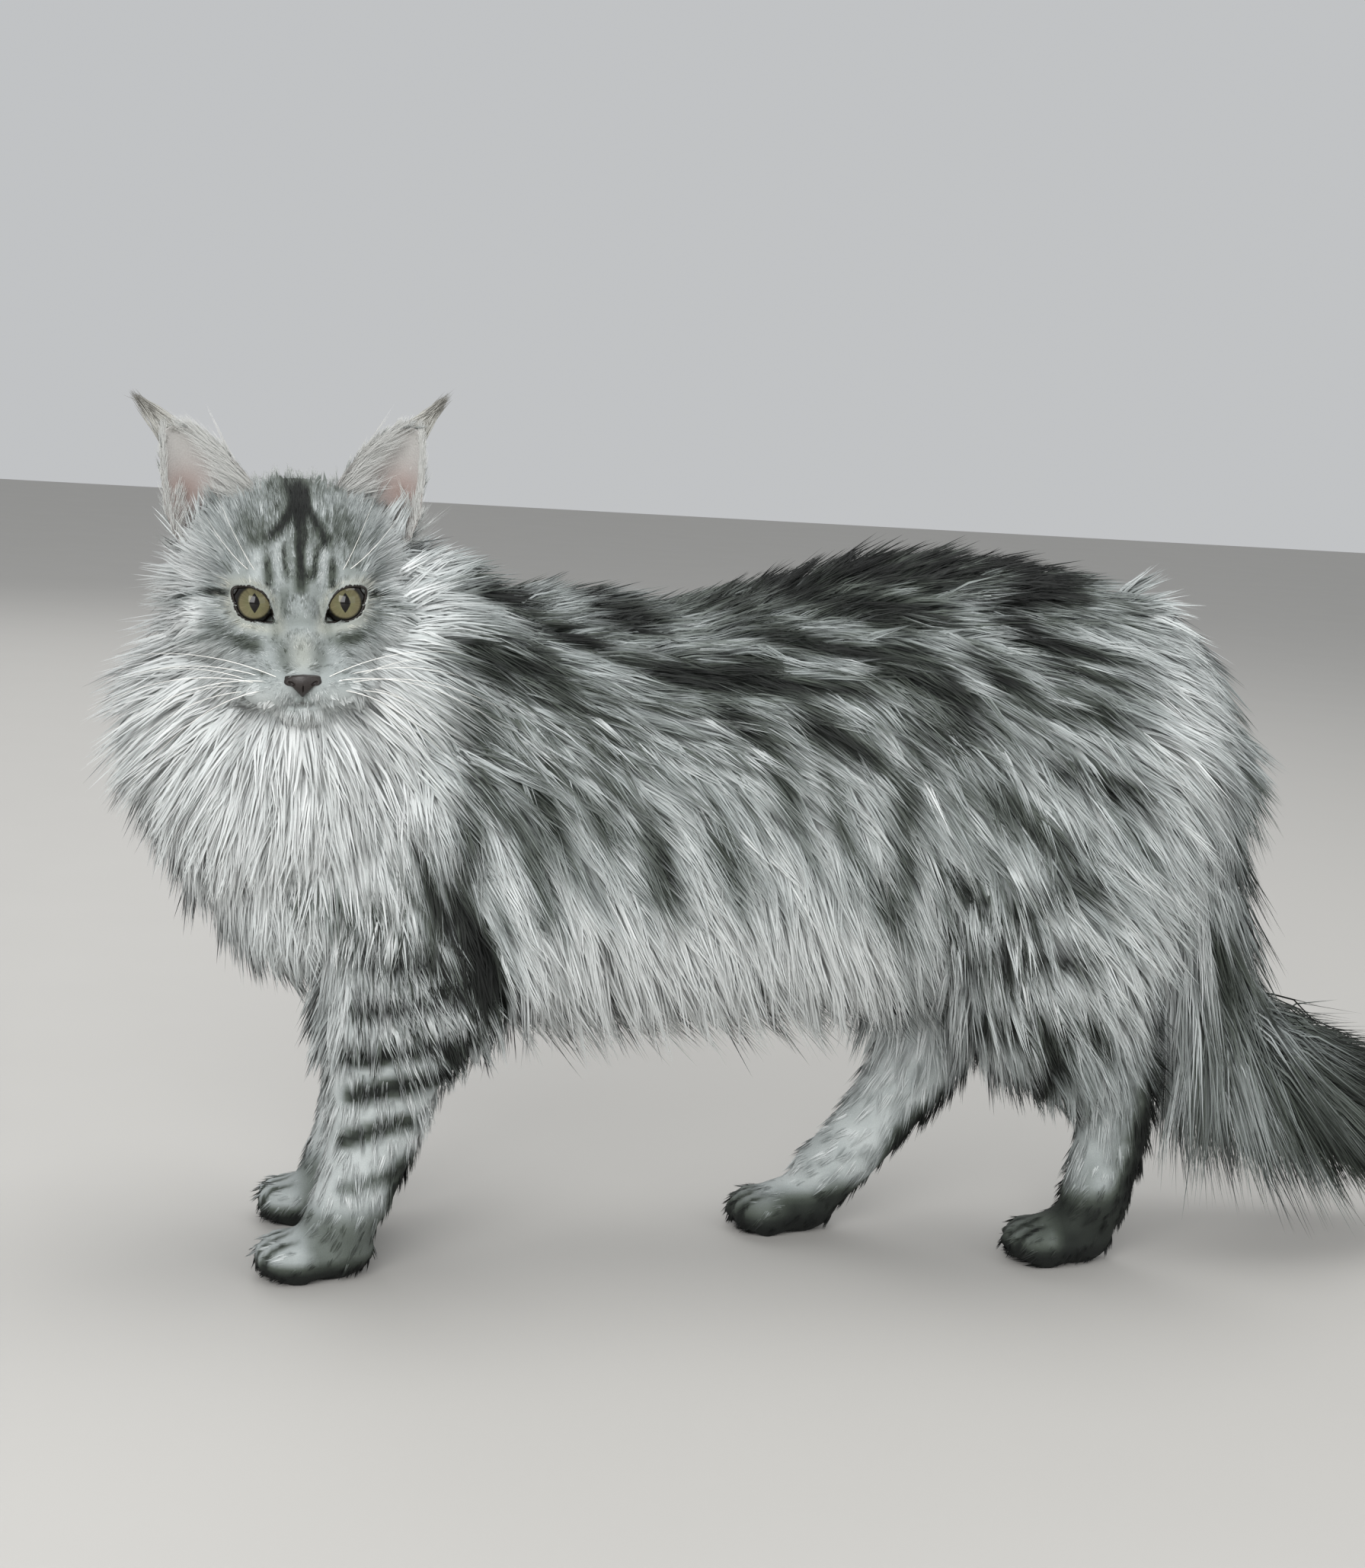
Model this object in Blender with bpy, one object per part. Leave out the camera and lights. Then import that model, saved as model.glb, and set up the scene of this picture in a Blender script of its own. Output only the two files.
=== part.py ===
"""Maine coon cat, standing with its head turned to its left, as a still life-size model.

Built in metres, +Z up, from sizes given in centimetres. The cat faces -X, its left side is -Y
and the floor is z = 0. Every solid reaches to the tips of the coat. The body is modelled whole,
from round pieces carried along the bones' lines, and then parted with thin cuts.
"""
import bmesh
import bpy
import numpy as np
from mathutils import Vector

CM = 0.01
GAP = 0.04                 # clearance between neighbouring pieces, cm
VOXEL = 0.42               # grain of the fused body, cm
BODY_TRIANGLES = 4300      # of the fused body before it is parted

# Driving sizes of the body, cm, with the coat on
WITHERS_HEIGHT = 35.4
HIP_HEIGHT = 38.0
BELLY_HEIGHT = 11.3
BODY_HALF_WIDTH = 8.9
PAW_HEIGHT = 3.1
PAW_LENGTH = 6.9
PAW_WIDTH = 4.5
FORE_PAW_LEFT = (-16.1, -4.7)      # centre of each paw on the floor
FORE_PAW_RIGHT = (-15.4, 4.5)
HIND_PAW_LEFT = (23.3, -2.7)
HIND_PAW_RIGHT = (9.5, 2.7)

# Driving sizes of the head, cm. Head sizes are given across (to the cat's left), up and forward
# from the point midway between the two corneas.
EYES_MIDPOINT = np.array([-18.55, -8.4, 33.5])
FACE_FORWARD = np.array([-0.03, -0.9987, 0.04])   # the way the nose points
HEAD_TILT = np.array([0.9958, -0.074, 0.054])        # the line through both eyes
EYE_SPACING = 4.15
EYEBALL_RADIUS = 1.08
EAR_TIP_SPREAD = 6.0       # ear tip's distance from the middle of the head
EAR_TIP_HEIGHT = 7.9       # above the eyes
EAR_TUFT_LENGTH = 2.3
CROWN_HEIGHT = 6.15
MUZZLE_LENGTH = 2.55       # nose tip in front of the corneas


def unit(vector):
    """The vector at length one."""
    vector = np.asarray(vector, float)
    return vector / np.linalg.norm(vector)


HEAD_FORWARD = unit(FACE_FORWARD)
HEAD_ACROSS = unit(HEAD_TILT - HEAD_FORWARD * np.dot(HEAD_TILT, HEAD_FORWARD))
HEAD_UP = np.cross(HEAD_FORWARD, HEAD_ACROSS)


def head_point(across, up, forward):
    """A point of the head from its sizes across, up and forward of the corneas."""
    offset = across * HEAD_ACROSS + up * HEAD_UP + forward * HEAD_FORWARD
    return EYES_MIDPOINT + offset


def smooth_path(stations, steps):
    """Rows between the stations, on a Catmull-Rom curve through all their columns."""
    rows = np.asarray(stations, float)
    padded = np.vstack([2 * rows[0] - rows[1], rows, 2 * rows[-1] - rows[-2]])
    out = []
    for i in range(len(rows) - 1):
        p0, p1, p2, p3 = padded[i:i + 4]
        for t in np.linspace(0.0, 1.0, steps, endpoint=False):
            out.append(0.5 * (2 * p1 + (p2 - p0) * t + (2 * p0 - 5 * p1 + 4 * p2 - p3) * t ** 2
                              + (3 * p1 - p0 - 3 * p2 + p3) * t ** 3))
    out.append(rows[-1])
    return np.array(out)


def closed_loft(rings):
    """Vertices and faces of a closed solid through rings of equally many points."""
    count = len(rings[0])
    verts = [tuple(p) for ring in rings for p in ring]
    faces = []
    for r in range(len(rings) - 1):
        for i in range(count):
            j = (i + 1) % count
            faces.append((r * count + i, r * count + j, (r + 1) * count + j, (r + 1) * count + i))
    last = (len(rings) - 1) * count
    faces.append(tuple(range(count - 1, -1, -1)))
    faces.append(tuple(range(last, last + count)))
    return verts, faces


def limb(stations, steps=5, sides=20, across=(0.0, 1.0, 0.0)):
    """A limb along stations of x, y, z, half its depth and half its width, with round ends."""
    rows = smooth_path(stations, steps)
    tangents = np.gradient(rows[:, :3], axis=0)
    angles = np.linspace(0.0, 2 * np.pi, sides, endpoint=False)
    rings = []
    for row, tangent in zip(rows, tangents):
        along = unit(tangent)
        side = unit(np.array(across) - along * np.dot(across, along))
        deep = np.cross(along, side)
        rings.append(row[:3] + row[3] * np.outer(np.cos(angles), deep)
                     + row[4] * np.outer(np.sin(angles), side))
    first, last = rows[0], rows[-1]
    for row, tangent, end in ((first, tangents[0], -1), (last, tangents[-1], 1)):
        base = rings[0] if end < 0 else rings[-1]
        reach = 0.8 * min(row[3], row[4])
        caps = []
        for t in (0.5, 0.87, 0.985):
            shrink = np.sqrt(1 - t * t)
            caps.append(row[:3] + (base - row[:3]) * shrink + unit(tangent) * end * reach * t)
        rings = caps[::-1] + rings if end < 0 else rings + caps
    return closed_loft(rings)


def trunk(sections, steps=5, sides=28):
    """The trunk along sections of x, top, bottom, half width and where it is widest, 0 to 1."""
    rows = smooth_path(sections, steps)
    angles = np.linspace(0.0, 2 * np.pi, sides, endpoint=False)
    rings = []
    for x, top, bottom, half, widest in rows:
        middle = bottom + (top - bottom) * widest
        above, below = top - middle, middle - bottom
        height = np.where(np.sin(angles) > 0, above, below) * np.sin(angles)
        rings.append(np.column_stack([np.full(sides, x), half * np.cos(angles), middle + height]))
    for end in (0, -1):
        centre = rings[end].mean(axis=0)
        reach = np.array([-2.2 if end == 0 else 2.0, 0.0, 0.0])
        caps = [centre + (rings[end] - centre) * np.sqrt(1 - t * t) + reach * t
                for t in (0.5, 0.87, 0.985)]
        rings = caps[::-1] + rings if end == 0 else rings + caps
    return closed_loft(rings)


def ellipsoid(centre, radii, axes=np.eye(3), rings=14, sides=22):
    """An ellipsoid with its three radii along the rows of axes."""
    tilt = np.linspace(0.06, np.pi - 0.06, rings)
    around = np.linspace(0.0, 2 * np.pi, sides, endpoint=False)
    out = []
    for a in tilt:
        local = np.column_stack([radii[0] * np.sin(a) * np.cos(around),
                                 radii[1] * np.sin(a) * np.sin(around),
                                 np.full(sides, radii[2] * np.cos(a))])
        out.append(np.asarray(centre) + local @ axes)
    return closed_loft(out)


def head_ellipsoid(across, up, forward, radii):
    """An ellipsoid placed and turned with the head."""
    axes = np.array([HEAD_ACROSS, HEAD_UP, HEAD_FORWARD])
    return ellipsoid(head_point(across, up, forward), radii, axes)


def mesh_object(name, solids):
    """One object in metres from solids of vertices in cm and faces, all facing outward."""
    mesh = bpy.data.meshes.new(name)
    verts, faces = [], []
    for solid_verts, solid_faces in solids:
        start = len(verts)
        verts += [tuple(CM * c for c in v) for v in solid_verts]
        faces += [tuple(i + start for i in face) for face in solid_faces]
    mesh.from_pydata(verts, [], faces)
    bm = bmesh.new()
    bm.from_mesh(mesh)
    bmesh.ops.recalc_face_normals(bm, faces=bm.faces)
    bm.to_mesh(mesh)
    bm.free()
    obj = bpy.data.objects.new(name, mesh)
    bpy.context.scene.collection.objects.link(obj)
    return obj


def bake_modifiers(obj):
    """The object with its modifiers turned into its mesh."""
    depsgraph = bpy.context.evaluated_depsgraph_get()
    mesh = bpy.data.meshes.new_from_object(obj.evaluated_get(depsgraph))
    obj.modifiers.clear()
    obj.data = mesh
    return obj


def drop_specks(obj):
    """Only the largest shell of the object, with near-zero edges closed up."""
    bm = bmesh.new()
    bm.from_mesh(obj.data)
    bmesh.ops.triangulate(bm, faces=bm.faces)
    bmesh.ops.dissolve_degenerate(bm, dist=0.0001, edges=bm.edges)
    bmesh.ops.triangulate(bm, faces=bm.faces)
    unseen = set(bm.verts)
    shells = []
    while unseen:
        stack = [unseen.pop()]
        shell = []
        while stack:
            vert = stack.pop()
            shell.append(vert)
            for edge in vert.link_edges:
                other = edge.other_vert(vert)
                if other in unseen:
                    unseen.remove(other)
                    stack.append(other)
        shells.append(shell)
    shells.sort(key=len)
    for shell in shells[:-1]:
        bmesh.ops.delete(bm, geom=shell, context="VERTS")
    bm.to_mesh(obj.data)
    bm.free()
    return obj


def convex_cell(name, planes, reach=120.0):
    """A convex block bounded by planes, each a point and the outward direction, in cm."""
    mesh = bpy.data.meshes.new(name)
    bm = bmesh.new()
    bmesh.ops.create_cube(bm, size=2 * reach * CM)
    for point, outward in planes:
        geom = bm.verts[:] + bm.edges[:] + bm.faces[:]
        cut = bmesh.ops.bisect_plane(bm, geom=geom, plane_co=Vector(point) * CM,
                                     plane_no=Vector(unit(outward)), clear_outer=True)
        edges = [e for e in cut["geom_cut"] if isinstance(e, bmesh.types.BMEdge)]
        bmesh.ops.contextual_create(bm, geom=edges)
    bmesh.ops.recalc_face_normals(bm, faces=bm.faces)
    bm.to_mesh(mesh)
    bm.free()
    obj = bpy.data.objects.new(name, mesh)
    bpy.context.scene.collection.objects.link(obj)
    return obj


def boolean(obj, cutter, operation):
    """The object after an exact Boolean with the cutter."""
    modifier = obj.modifiers.new("cut", "BOOLEAN")
    modifier.operation = operation
    modifier.object = cutter
    modifier.solver = "EXACT"
    return bake_modifiers(obj)


def let_in(piece, body):
    """Cut the piece's own shape, swollen by the gap, out of the body that holds it."""
    bed = bpy.data.objects.new("bed", piece.data.copy())
    bpy.context.scene.collection.objects.link(bed)
    swell = bed.modifiers.new("swell", "DISPLACE")
    swell.strength = 1.4 * GAP * CM
    swell.mid_level = 0.0
    bake_modifiers(bed)
    boolean(body, bed, "DIFFERENCE")
    remove(bed)
    drop_specks(body)


def remove(obj):
    """Take a helper out of the scene."""
    bpy.data.objects.remove(obj, do_unlink=True)


def grown(planes, distance):
    """The planes of a cell, each moved outward by the distance in cm."""
    return [(np.asarray(point, float) + unit(outward) * distance, outward)
            for point, outward in planes]


def split_off(rest, name, planes):
    """The part of rest inside the planes as a new object, and what is left of rest."""
    piece = bpy.data.objects.new(name, rest.data.copy())
    bpy.context.scene.collection.objects.link(piece)
    inner = convex_cell("inner_cell", planes)
    outer = convex_cell("outer_cell", grown(planes, GAP))
    boolean(piece, inner, "INTERSECT")
    boolean(rest, outer, "DIFFERENCE")
    remove(inner)
    remove(outer)
    drop_specks(piece)
    drop_specks(rest)
    return piece


for old in list(bpy.data.objects):
    bpy.data.objects.remove(old, do_unlink=True)

# Trunk, cm: x, top, bottom, half width, height of the widest place between bottom and top.
# The long belly coat hangs lowest behind the elbows and in front of the knees.
W = BODY_HALF_WIDTH
TRUNK_SECTIONS = [
    (-22.0, WITHERS_HEIGHT - 3.4, 18.6, 4.6, 0.5),
    (-17.5, WITHERS_HEIGHT - 1.2, 15.6, 6.9, 0.5),
    (-12.0, WITHERS_HEIGHT - 2.2, 11.4, 8.3, 0.5),
    (-6.0, WITHERS_HEIGHT, 9.0, 8.8, 0.5),
    (0.5, WITHERS_HEIGHT - 0.5, BELLY_HEIGHT, W, 0.45),
    (6.0, WITHERS_HEIGHT + 0.9, BELLY_HEIGHT + 0.2, W, 0.42),
    (12.5, HIP_HEIGHT, BELLY_HEIGHT - 0.2, W, 0.42),
    (18.5, HIP_HEIGHT - 0.3, 12.0, W - 0.2, 0.46),
    (24.0, HIP_HEIGHT - 0.8, 15.5, W - 0.7, 0.5),
    (28.0, HIP_HEIGHT - 2.8, 18.0, W - 2.4, 0.5),
    (31.0, HIP_HEIGHT - 5.9, 20.5, W - 4.6, 0.5),
]

# Ruff and bib round the face and down the chest, cm: centre and radii
RUFF = [
    ((-19.3, -3.6, 29.0), (7.6, 6.7, 8.0)),
    ((-18.4, -2.6, 24.0), (7.8, 6.7, 7.2)),
    ((-16.4, -2.0, 18.8), (5.6, 5.6, 5.4)),
    ((-14.6, -0.8, 27.6), (6.6, 6.8, 6.4)),
]

# Limbs, cm: x, y, z, half the depth front to back, half the width
FORELEG_LEFT = [
    (-9.8, -5.4, 25.0, 6.0, 3.6),
    (-11.4, -5.6, 18.0, 6.2, 3.5),
    (-13.2, -5.4, 12.8, 5.0, 3.2),
    (-13.4, -5.1, 8.8, 3.1, 2.7),
    (-13.9, -4.9, 5.2, 2.5, 2.35),
    (-14.9, -4.7, 2.6, 2.2, 2.1),
]
FORELEG_RIGHT = [
    (-9.0, 5.4, 25.0, 6.0, 3.6),
    (-10.6, 5.6, 18.0, 5.8, 3.5),
    (-11.9, 5.3, 12.6, 4.4, 3.2),
    (-12.6, 5.0, 8.8, 3.0, 2.7),
    (-13.4, 4.7, 5.2, 2.5, 2.35),
    (-14.3, 4.5, 2.6, 2.2, 2.1),
]
HINDLEG_LEFT = [
    (22.0, -4.2, 28.5, 7.6, 4.2),
    (21.8, -5.0, 22.5, 7.7, 4.0),
    (22.0, -4.8, 17.0, 7.0, 3.9),
    (22.9, -3.9, 12.9, 5.9, 3.3),
    (25.1, -3.1, 9.2, 3.2, 2.5),
    (25.4, -2.9, 6.6, 2.6, 2.2),
    (25.0, -2.8, 3.2, 2.45, 2.1),
]
HINDLEG_RIGHT = [
    (20.0, 4.6, 28.5, 7.2, 4.2),
    (19.0, 5.2, 22.5, 7.2, 4.0),
    (18.2, 4.6, 17.0, 5.8, 3.7),
    (17.2, 3.7, 12.4, 4.7, 3.1),
    (16.0, 3.1, 8.4, 3.4, 2.5),
    (13.5, 2.8, 4.9, 2.7, 2.2),
    (11.4, 2.7, 2.8, 2.3, 2.1),
]
# The breeches, the long coat at the back of the thighs
BREECHES = [
    ((26.2, -3.2, 22.0), (4.6, 4.6, 9.0)),
    ((26.0, 3.6, 22.0), (4.6, 4.4, 9.0)),
    ((26.6, -2.6, 15.0), (3.0, 3.0, 4.6)),
]
# The tail hangs behind the breeches and then trails back, clear of the floor
TAIL = [
    (26.0, 0.0, 33.0, 3.4, 3.4),
    (28.6, 0.2, 29.6, 3.9, 4.0),
    (30.2, 0.5, 25.0, 4.0, 4.2),
    (30.8, 0.8, 20.0, 3.9, 4.4),
    (31.4, 1.1, 15.2, 4.3, 4.6),
    (33.4, 1.4, 10.8, 5.1, 4.9),
    (37.2, 1.7, 8.2, 5.0, 4.8),
    (41.8, 1.9, 6.2, 4.4, 4.3),
    (46.4, 2.0, 5.2, 3.3, 3.3),
    (50.4, 2.0, 4.8, 1.3, 1.3),
]


def paw(centre, forward):
    """A paw: heel and toe pads' outer shape as flattened balls, its toes in front."""
    x, y = centre
    ahead = np.array([forward[0], forward[1], 0.0])
    beside = np.array([-forward[1], forward[0], 0.0])
    middle = np.array([x, y, 0.0])
    axes = np.array([ahead, beside, [0.0, 0.0, 1.0]])
    half, wide, high = PAW_LENGTH / 2, PAW_WIDTH / 2, PAW_HEIGHT
    solids = [ellipsoid(middle + ahead * -0.6 + (0, 0, 0.44 * high),
                        (half * 0.82, wide * 0.92, high * 0.62), axes)]
    for side, reach in ((-0.66, 1.15), (-0.24, 1.5), (0.24, 1.5), (0.66, 1.15)):
        toe = middle + ahead * reach + beside * side * wide + (0, 0, 0.36 * high)
        solids.append(ellipsoid(toe, (1.75, 0.86, high * 0.5), axes))
    return solids


# Head masses, cm across, up and forward of the corneas, with radii: skull, forehead, cheeks,
# brow, muzzle root, the two whisker pads, bridge of the nose, chin and the coat below the ears
E = EYE_SPACING / 2
M = MUZZLE_LENGTH
HEAD_MASSES = [
    (0.0, CROWN_HEIGHT - 5.15, -5.2, (5.2, 5.15, 5.0)),
    (0.0, 1.5, -3.3, (4.4, 3.9, 3.1)),
    (3.1, -1.9, -3.6, (3.1, 3.5, 3.4)),
    (-3.1, -1.9, -3.6, (3.1, 3.5, 3.4)),
    (E, 1.25, -1.5, (1.7, 1.0, 1.25)),
    (-E, 1.25, -1.5, (1.7, 1.0, 1.25)),
    (0.0, -2.4, -1.4, (3.1, 2.5, 2.6)),
    (1.3, -4.0, M - 1.75, (1.65, 1.25, 1.55)),
    (-1.3, -4.0, M - 1.75, (1.65, 1.25, 1.55)),
    (0.0, -3.4, M - 1.5, (1.0, 1.0, 1.35)),
    (0.0, -2.3, M - 2.1, (1.05, 1.3, 1.3)),
    (0.0, -0.9, -0.9, (1.1, 1.8, 1.3)),
    (0.0, -4.7, M - 2.1, (1.5, 0.95, 1.25)),
    (4.4, 0.3, -5.0, (2.9, 4.4, 3.0)),
    (-4.6, 0.3, -5.0, (3.0, 4.4, 3.0)),
    (0.0, 3.6, -4.6, (3.7, 2.6, 3.2)),
]

solids = [trunk(TRUNK_SECTIONS)]
solids += [ellipsoid(centre, radii) for centre, radii in RUFF + BREECHES]
solids += [limb(row) for row in (FORELEG_LEFT, FORELEG_RIGHT, HINDLEG_LEFT, HINDLEG_RIGHT, TAIL)]
for centre, forward in ((FORE_PAW_LEFT, (-0.98, -0.2)), (FORE_PAW_RIGHT, (-1.0, 0.0)),
                        (HIND_PAW_LEFT, (-0.99, -0.1)), (HIND_PAW_RIGHT, (-0.99, -0.1))):
    solids += paw(centre, unit(forward))
solids += [head_ellipsoid(*row) for row in HEAD_MASSES]

body = mesh_object("body", solids)
fuse = body.modifiers.new("fuse", "REMESH")
fuse.mode = "VOXEL"
fuse.voxel_size = VOXEL * CM
bake_modifiers(body)
soften = body.modifiers.new("soften", "SMOOTH")
soften.factor = 0.5
soften.iterations = 4
bake_modifiers(body)

# The head keeps more of its triangles than the body when the mesh is thinned out
detail = body.vertex_groups.new(name="plain")
for vert in body.data.vertices:
    offset = np.array(vert.co) / CM - EYES_MIDPOINT
    near_face = np.linalg.norm(offset) < 6.5 and np.dot(offset, HEAD_FORWARD) > -3.0
    low = vert.co.z / CM < 4.5
    detail.add([vert.index], 0.6 if near_face else 0.85 if low else 1.0, "REPLACE")
thin = body.modifiers.new("thin", "DECIMATE")
triangles = 2 * len(body.data.polygons)
thin.ratio = BODY_TRIANGLES / triangles
thin.use_collapse_triangulate = True
thin.vertex_group = "plain"
thin.vertex_group_factor = 1.0
bake_modifiers(body)
drop_specks(body)

# The feet stand on small flats at the level of the floor
FLOOR = [((0.0, 0.0, 0.0), (0.0, 0.0, -1.0))]
flat = convex_cell("floor_cell", FLOOR)
boolean(body, flat, "INTERSECT")
remove(flat)
drop_specks(body)

# Eyeballs, the sockets that hold them and the openings between the lids
for side, label in ((1.0, "left"), (-1.0, "right")):
    centre = head_point(side * E, 0.0, -EYEBALL_RADIUS)
    opening = head_ellipsoid(side * E, 0.0, 0.55, (1.12, 0.85, 1.15))
    socket = ellipsoid(centre, (EYEBALL_RADIUS + GAP,) * 3, rings=10, sides=16)
    for hollow in (opening, socket):
        cutter = mesh_object("cutter", [hollow])
        boolean(body, cutter, "DIFFERENCE")
        remove(cutter)
    mesh_object("eye_" + label, [ellipsoid(centre, (EYEBALL_RADIUS,) * 3, rings=9, sides=14)])
drop_specks(body)

# Nose leather: a small wedge let into the front of the muzzle
NOSE = [(0.8, -3.05, M - 0.55), (0.0, -2.95, M - 0.35), (-0.8, -3.05, M - 0.55),
        (-0.6, -3.5, M - 0.35), (0.0, -4.02, M - 0.45), (0.6, -3.5, M - 0.35)]


def nose_rings():
    """The wedge's outline from inside the muzzle to its front."""
    middle = np.array([0.0, -3.45])
    rings = []
    for forward, size in ((-0.55, 0.8), (0.12, 1.0), (0.42, 0.78)):
        ring = []
        for across, up, front in NOSE:
            place = middle + (np.array([across, up]) - middle) * size
            ring.append(head_point(place[0], place[1], front + forward))
        rings.append(ring)
    return rings


nose = drop_specks(mesh_object("nose_leather", [closed_loft(nose_rings())]))
let_in(nose, body)


def ear_rings(side):
    """Crescent rings of one ear from its root in the head to the end of its tip tuft."""
    inner_root, outer_root = np.array([1.5, 4.9, -4.0]), np.array([6.0, 2.6, -5.0])
    inner_mid, outer_mid = np.array([3.5, 7.35, -4.5]), np.array([6.35, 5.4, -5.0])
    tip = np.array([EAR_TIP_SPREAD, EAR_TIP_HEIGHT, -5.0])
    tuft = tip + unit([0.62, 0.74, 0.0]) * EAR_TUFT_LENGTH
    levels = ((inner_root, outer_root, 1.75, 0.72), (0.5 * (inner_root + inner_mid),
              0.5 * (outer_root + outer_mid) + (0.1, 0, 0), 1.55, 0.6),
              (inner_mid, outer_mid, 1.15, 0.5), (0.45 * inner_mid + 0.55 * tip + (-0.3, 0.22, 0),
              0.4 * outer_mid + 0.6 * tip + (0.16, 0, 0), 0.6, 0.42),
              (tip + (-0.6, 0.2, 0), tip + (0.14, -0.28, 0), 0.16, 0.3),
              (0.5 * (tip + tuft) + (-0.2, 0.16, 0), 0.5 * (tip + tuft) + (0.16, -0.13, 0), 0.04, 0.2),
              (tuft + (-0.05, 0.04, 0), tuft + (0.05, -0.04, 0), 0.0, 0.05))
    spans = np.linspace(-1.0, 1.0, 9)
    rings = []
    for inner, outer, cup, thick in levels:
        ring = []
        for face, order in ((0.5, spans), (-0.5, spans[::-1])):
            for t in order:
                place = 0.5 * ((1 - t) * inner + (1 + t) * outer)
                edge = np.sqrt(max(0.0, 1 - t * t))
                depth = -cup * (1 - t * t) + face * (thick * edge + 0.16 * min(1, thick))
                ring.append(head_point(side * place[0], place[1], place[2] + depth))
        rings.append(ring)
    return rings


# Ears: thin cups let into the skull, each carried out to the end of its tuft
for side, label in ((1.0, "left"), (-1.0, "right")):
    ear = drop_specks(mesh_object("ear_" + label, [closed_loft(ear_rings(side))]))
    let_in(ear, body)

# Cuts that part the body, each cell a set of planes with outward directions
HEAD_BACK = unit(HEAD_FORWARD * -0.70 + HEAD_UP * -0.71)
HEAD_CELL = [
    (head_point(0.0, -6.0, 0.2), HEAD_BACK),
    (head_point(6.6, 0.0, 0.0), HEAD_ACROSS),
]
split_off(body, "head", HEAD_CELL)

LEG_TOP = 15.2


def leg_cell(side, top, front, back, inner=2.0):
    """The planes round one leg: beside the middle line, under top, between front and back."""
    planes = [((0.0, side * inner, 0.0), (0.0, -side, 0.0)),
              ((0.0, 0.0, top), (0.0, 0.0, 1.0))]
    for point, outward in (front, back):
        planes.append((point, outward))
    return planes


FORE_FRONT = ((-40.0, 0.0, 0.0), (-1.0, 0.0, 0.0))
FORE_BACK = ((-7.2, 0.0, 14.6), (0.95, 0.0, -0.31))
for side, label in ((-1.0, "left"), (1.0, "right")):
    leg = split_off(body, "foreleg_" + label, leg_cell(side, LEG_TOP, FORE_FRONT, FORE_BACK))
    split_off(leg, "forepaw_" + label, [((0.0, 0.0, PAW_HEIGHT), (0.12, 0.0, 1.0))])
    split_off(leg, "forearm_" + label, [((0.0, 0.0, 9.5), (0.12, 0.0, 1.0))])
    leg.name = "elbow_" + label

TAIL_FRONT = ((29.2, 0.0, 26.0), (-1.0, 0.0, 0.03))
tail = split_off(body, "tail_base", [TAIL_FRONT])
split_off(tail, "tail_end", [((41.5, 0.0, 7.0), (-1.0, 0.0, 0.35))])
split_off(tail, "tail_middle", [((33.0, 0.0, 15.0), (-0.45, 0.0, 1.0))])

HIND_TOP = 23.0
HIND_FRONTS = {"left": ((13.8, 0.0, 20.0), (-1.0, 0.0, -0.12)),
               "right": ((9.4, 0.0, 13.4), (-0.88, 0.0, 0.47))}
HIND_BACK = ((60.0, 0.0, 0.0), (1.0, 0.0, 0.0))
HIND_PAW_CUTS = {"left": ((22.8, 0.0, PAW_HEIGHT + 0.4), (0.25, 0.0, 1.0)),
                 "right": ((11.6, 0.0, PAW_HEIGHT + 0.6), (0.6, 0.0, 0.8))}
for side, label in ((-1.0, "left"), (1.0, "right")):
    planes = leg_cell(side, HIND_TOP, HIND_FRONTS[label], HIND_BACK, 0.2)
    leg = split_off(body, "hindleg_" + label, planes)
    paw_point, paw_up = HIND_PAW_CUTS[label]
    split_off(leg, "hindpaw_" + label, [(paw_point, paw_up)])
    split_off(leg, "hock_" + label, [((0.0, 0.0, 11.0), (0.0, 0.0, 1.0))])
    leg.name = "thigh_" + label

split_off(body, "neck", [((-9.6, 0.0, 35.0), (0.86, 0.0, -0.5))])
split_off(body, "shoulders", [((0.5, 0.0, 20.0), (1.0, 0.0, -0.05))])
split_off(body, "rump", [((14.0, 0.0, 20.0), (-1.0, 0.0, 0.0))])
body.name = "abdomen"

# Colours of the coat and of the bare parts: base colour, roughness
COATS = {
    "pale": ((0.62, 0.64, 0.64), 0.85), "grey": ((0.30, 0.32, 0.32), 0.85),
    "dark": ((0.06, 0.07, 0.065), 0.85), "iris": ((0.42, 0.40, 0.17), 0.15),
    "nose": ((0.03, 0.022, 0.02), 0.5),
}
KINDS = (("eye", "iris"), ("nose", "nose"), ("hindpaw", "dark"), ("forepaw", "grey"),
         ("head", "pale"), ("ear", "pale"), ("neck", "pale"), ("elbow", "pale"))
lowest = np.array([np.inf] * 3)
highest = -lowest
pieces = [obj for obj in bpy.data.objects if obj.type == "MESH"]
for obj in pieces:
    kind = next((coat for start, coat in KINDS if obj.name.startswith(start)), "grey")
    colour, roughness = COATS[kind]
    material = bpy.data.materials.new("coat_" + obj.name)
    material.use_nodes = True
    shader = material.node_tree.nodes["Principled BSDF"]
    shader.inputs["Base Color"].default_value = (*colour, 1.0)
    shader.inputs["Roughness"].default_value = roughness
    shader.inputs["Metallic"].default_value = 0.0
    obj.data.materials.clear()
    obj.data.materials.append(material)
    points = np.array([v.co for v in obj.data.vertices])
    lowest = np.minimum(lowest, points.min(axis=0))
    highest = np.maximum(highest, points.max(axis=0))

# The origin lies on the floor under the middle of the whole cat
shift = np.array([(lowest[0] + highest[0]) / 2, (lowest[1] + highest[1]) / 2, lowest[2]])
for obj in pieces:
    for vert in obj.data.vertices:
        vert.co -= Vector(shift)
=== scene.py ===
"""A silver tabby Maine Coon as a life-size museum model: skin, eyes, nose, whiskers and coat."""

import bmesh
import bpy
import numpy as np
from mathutils import Matrix, Vector


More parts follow.
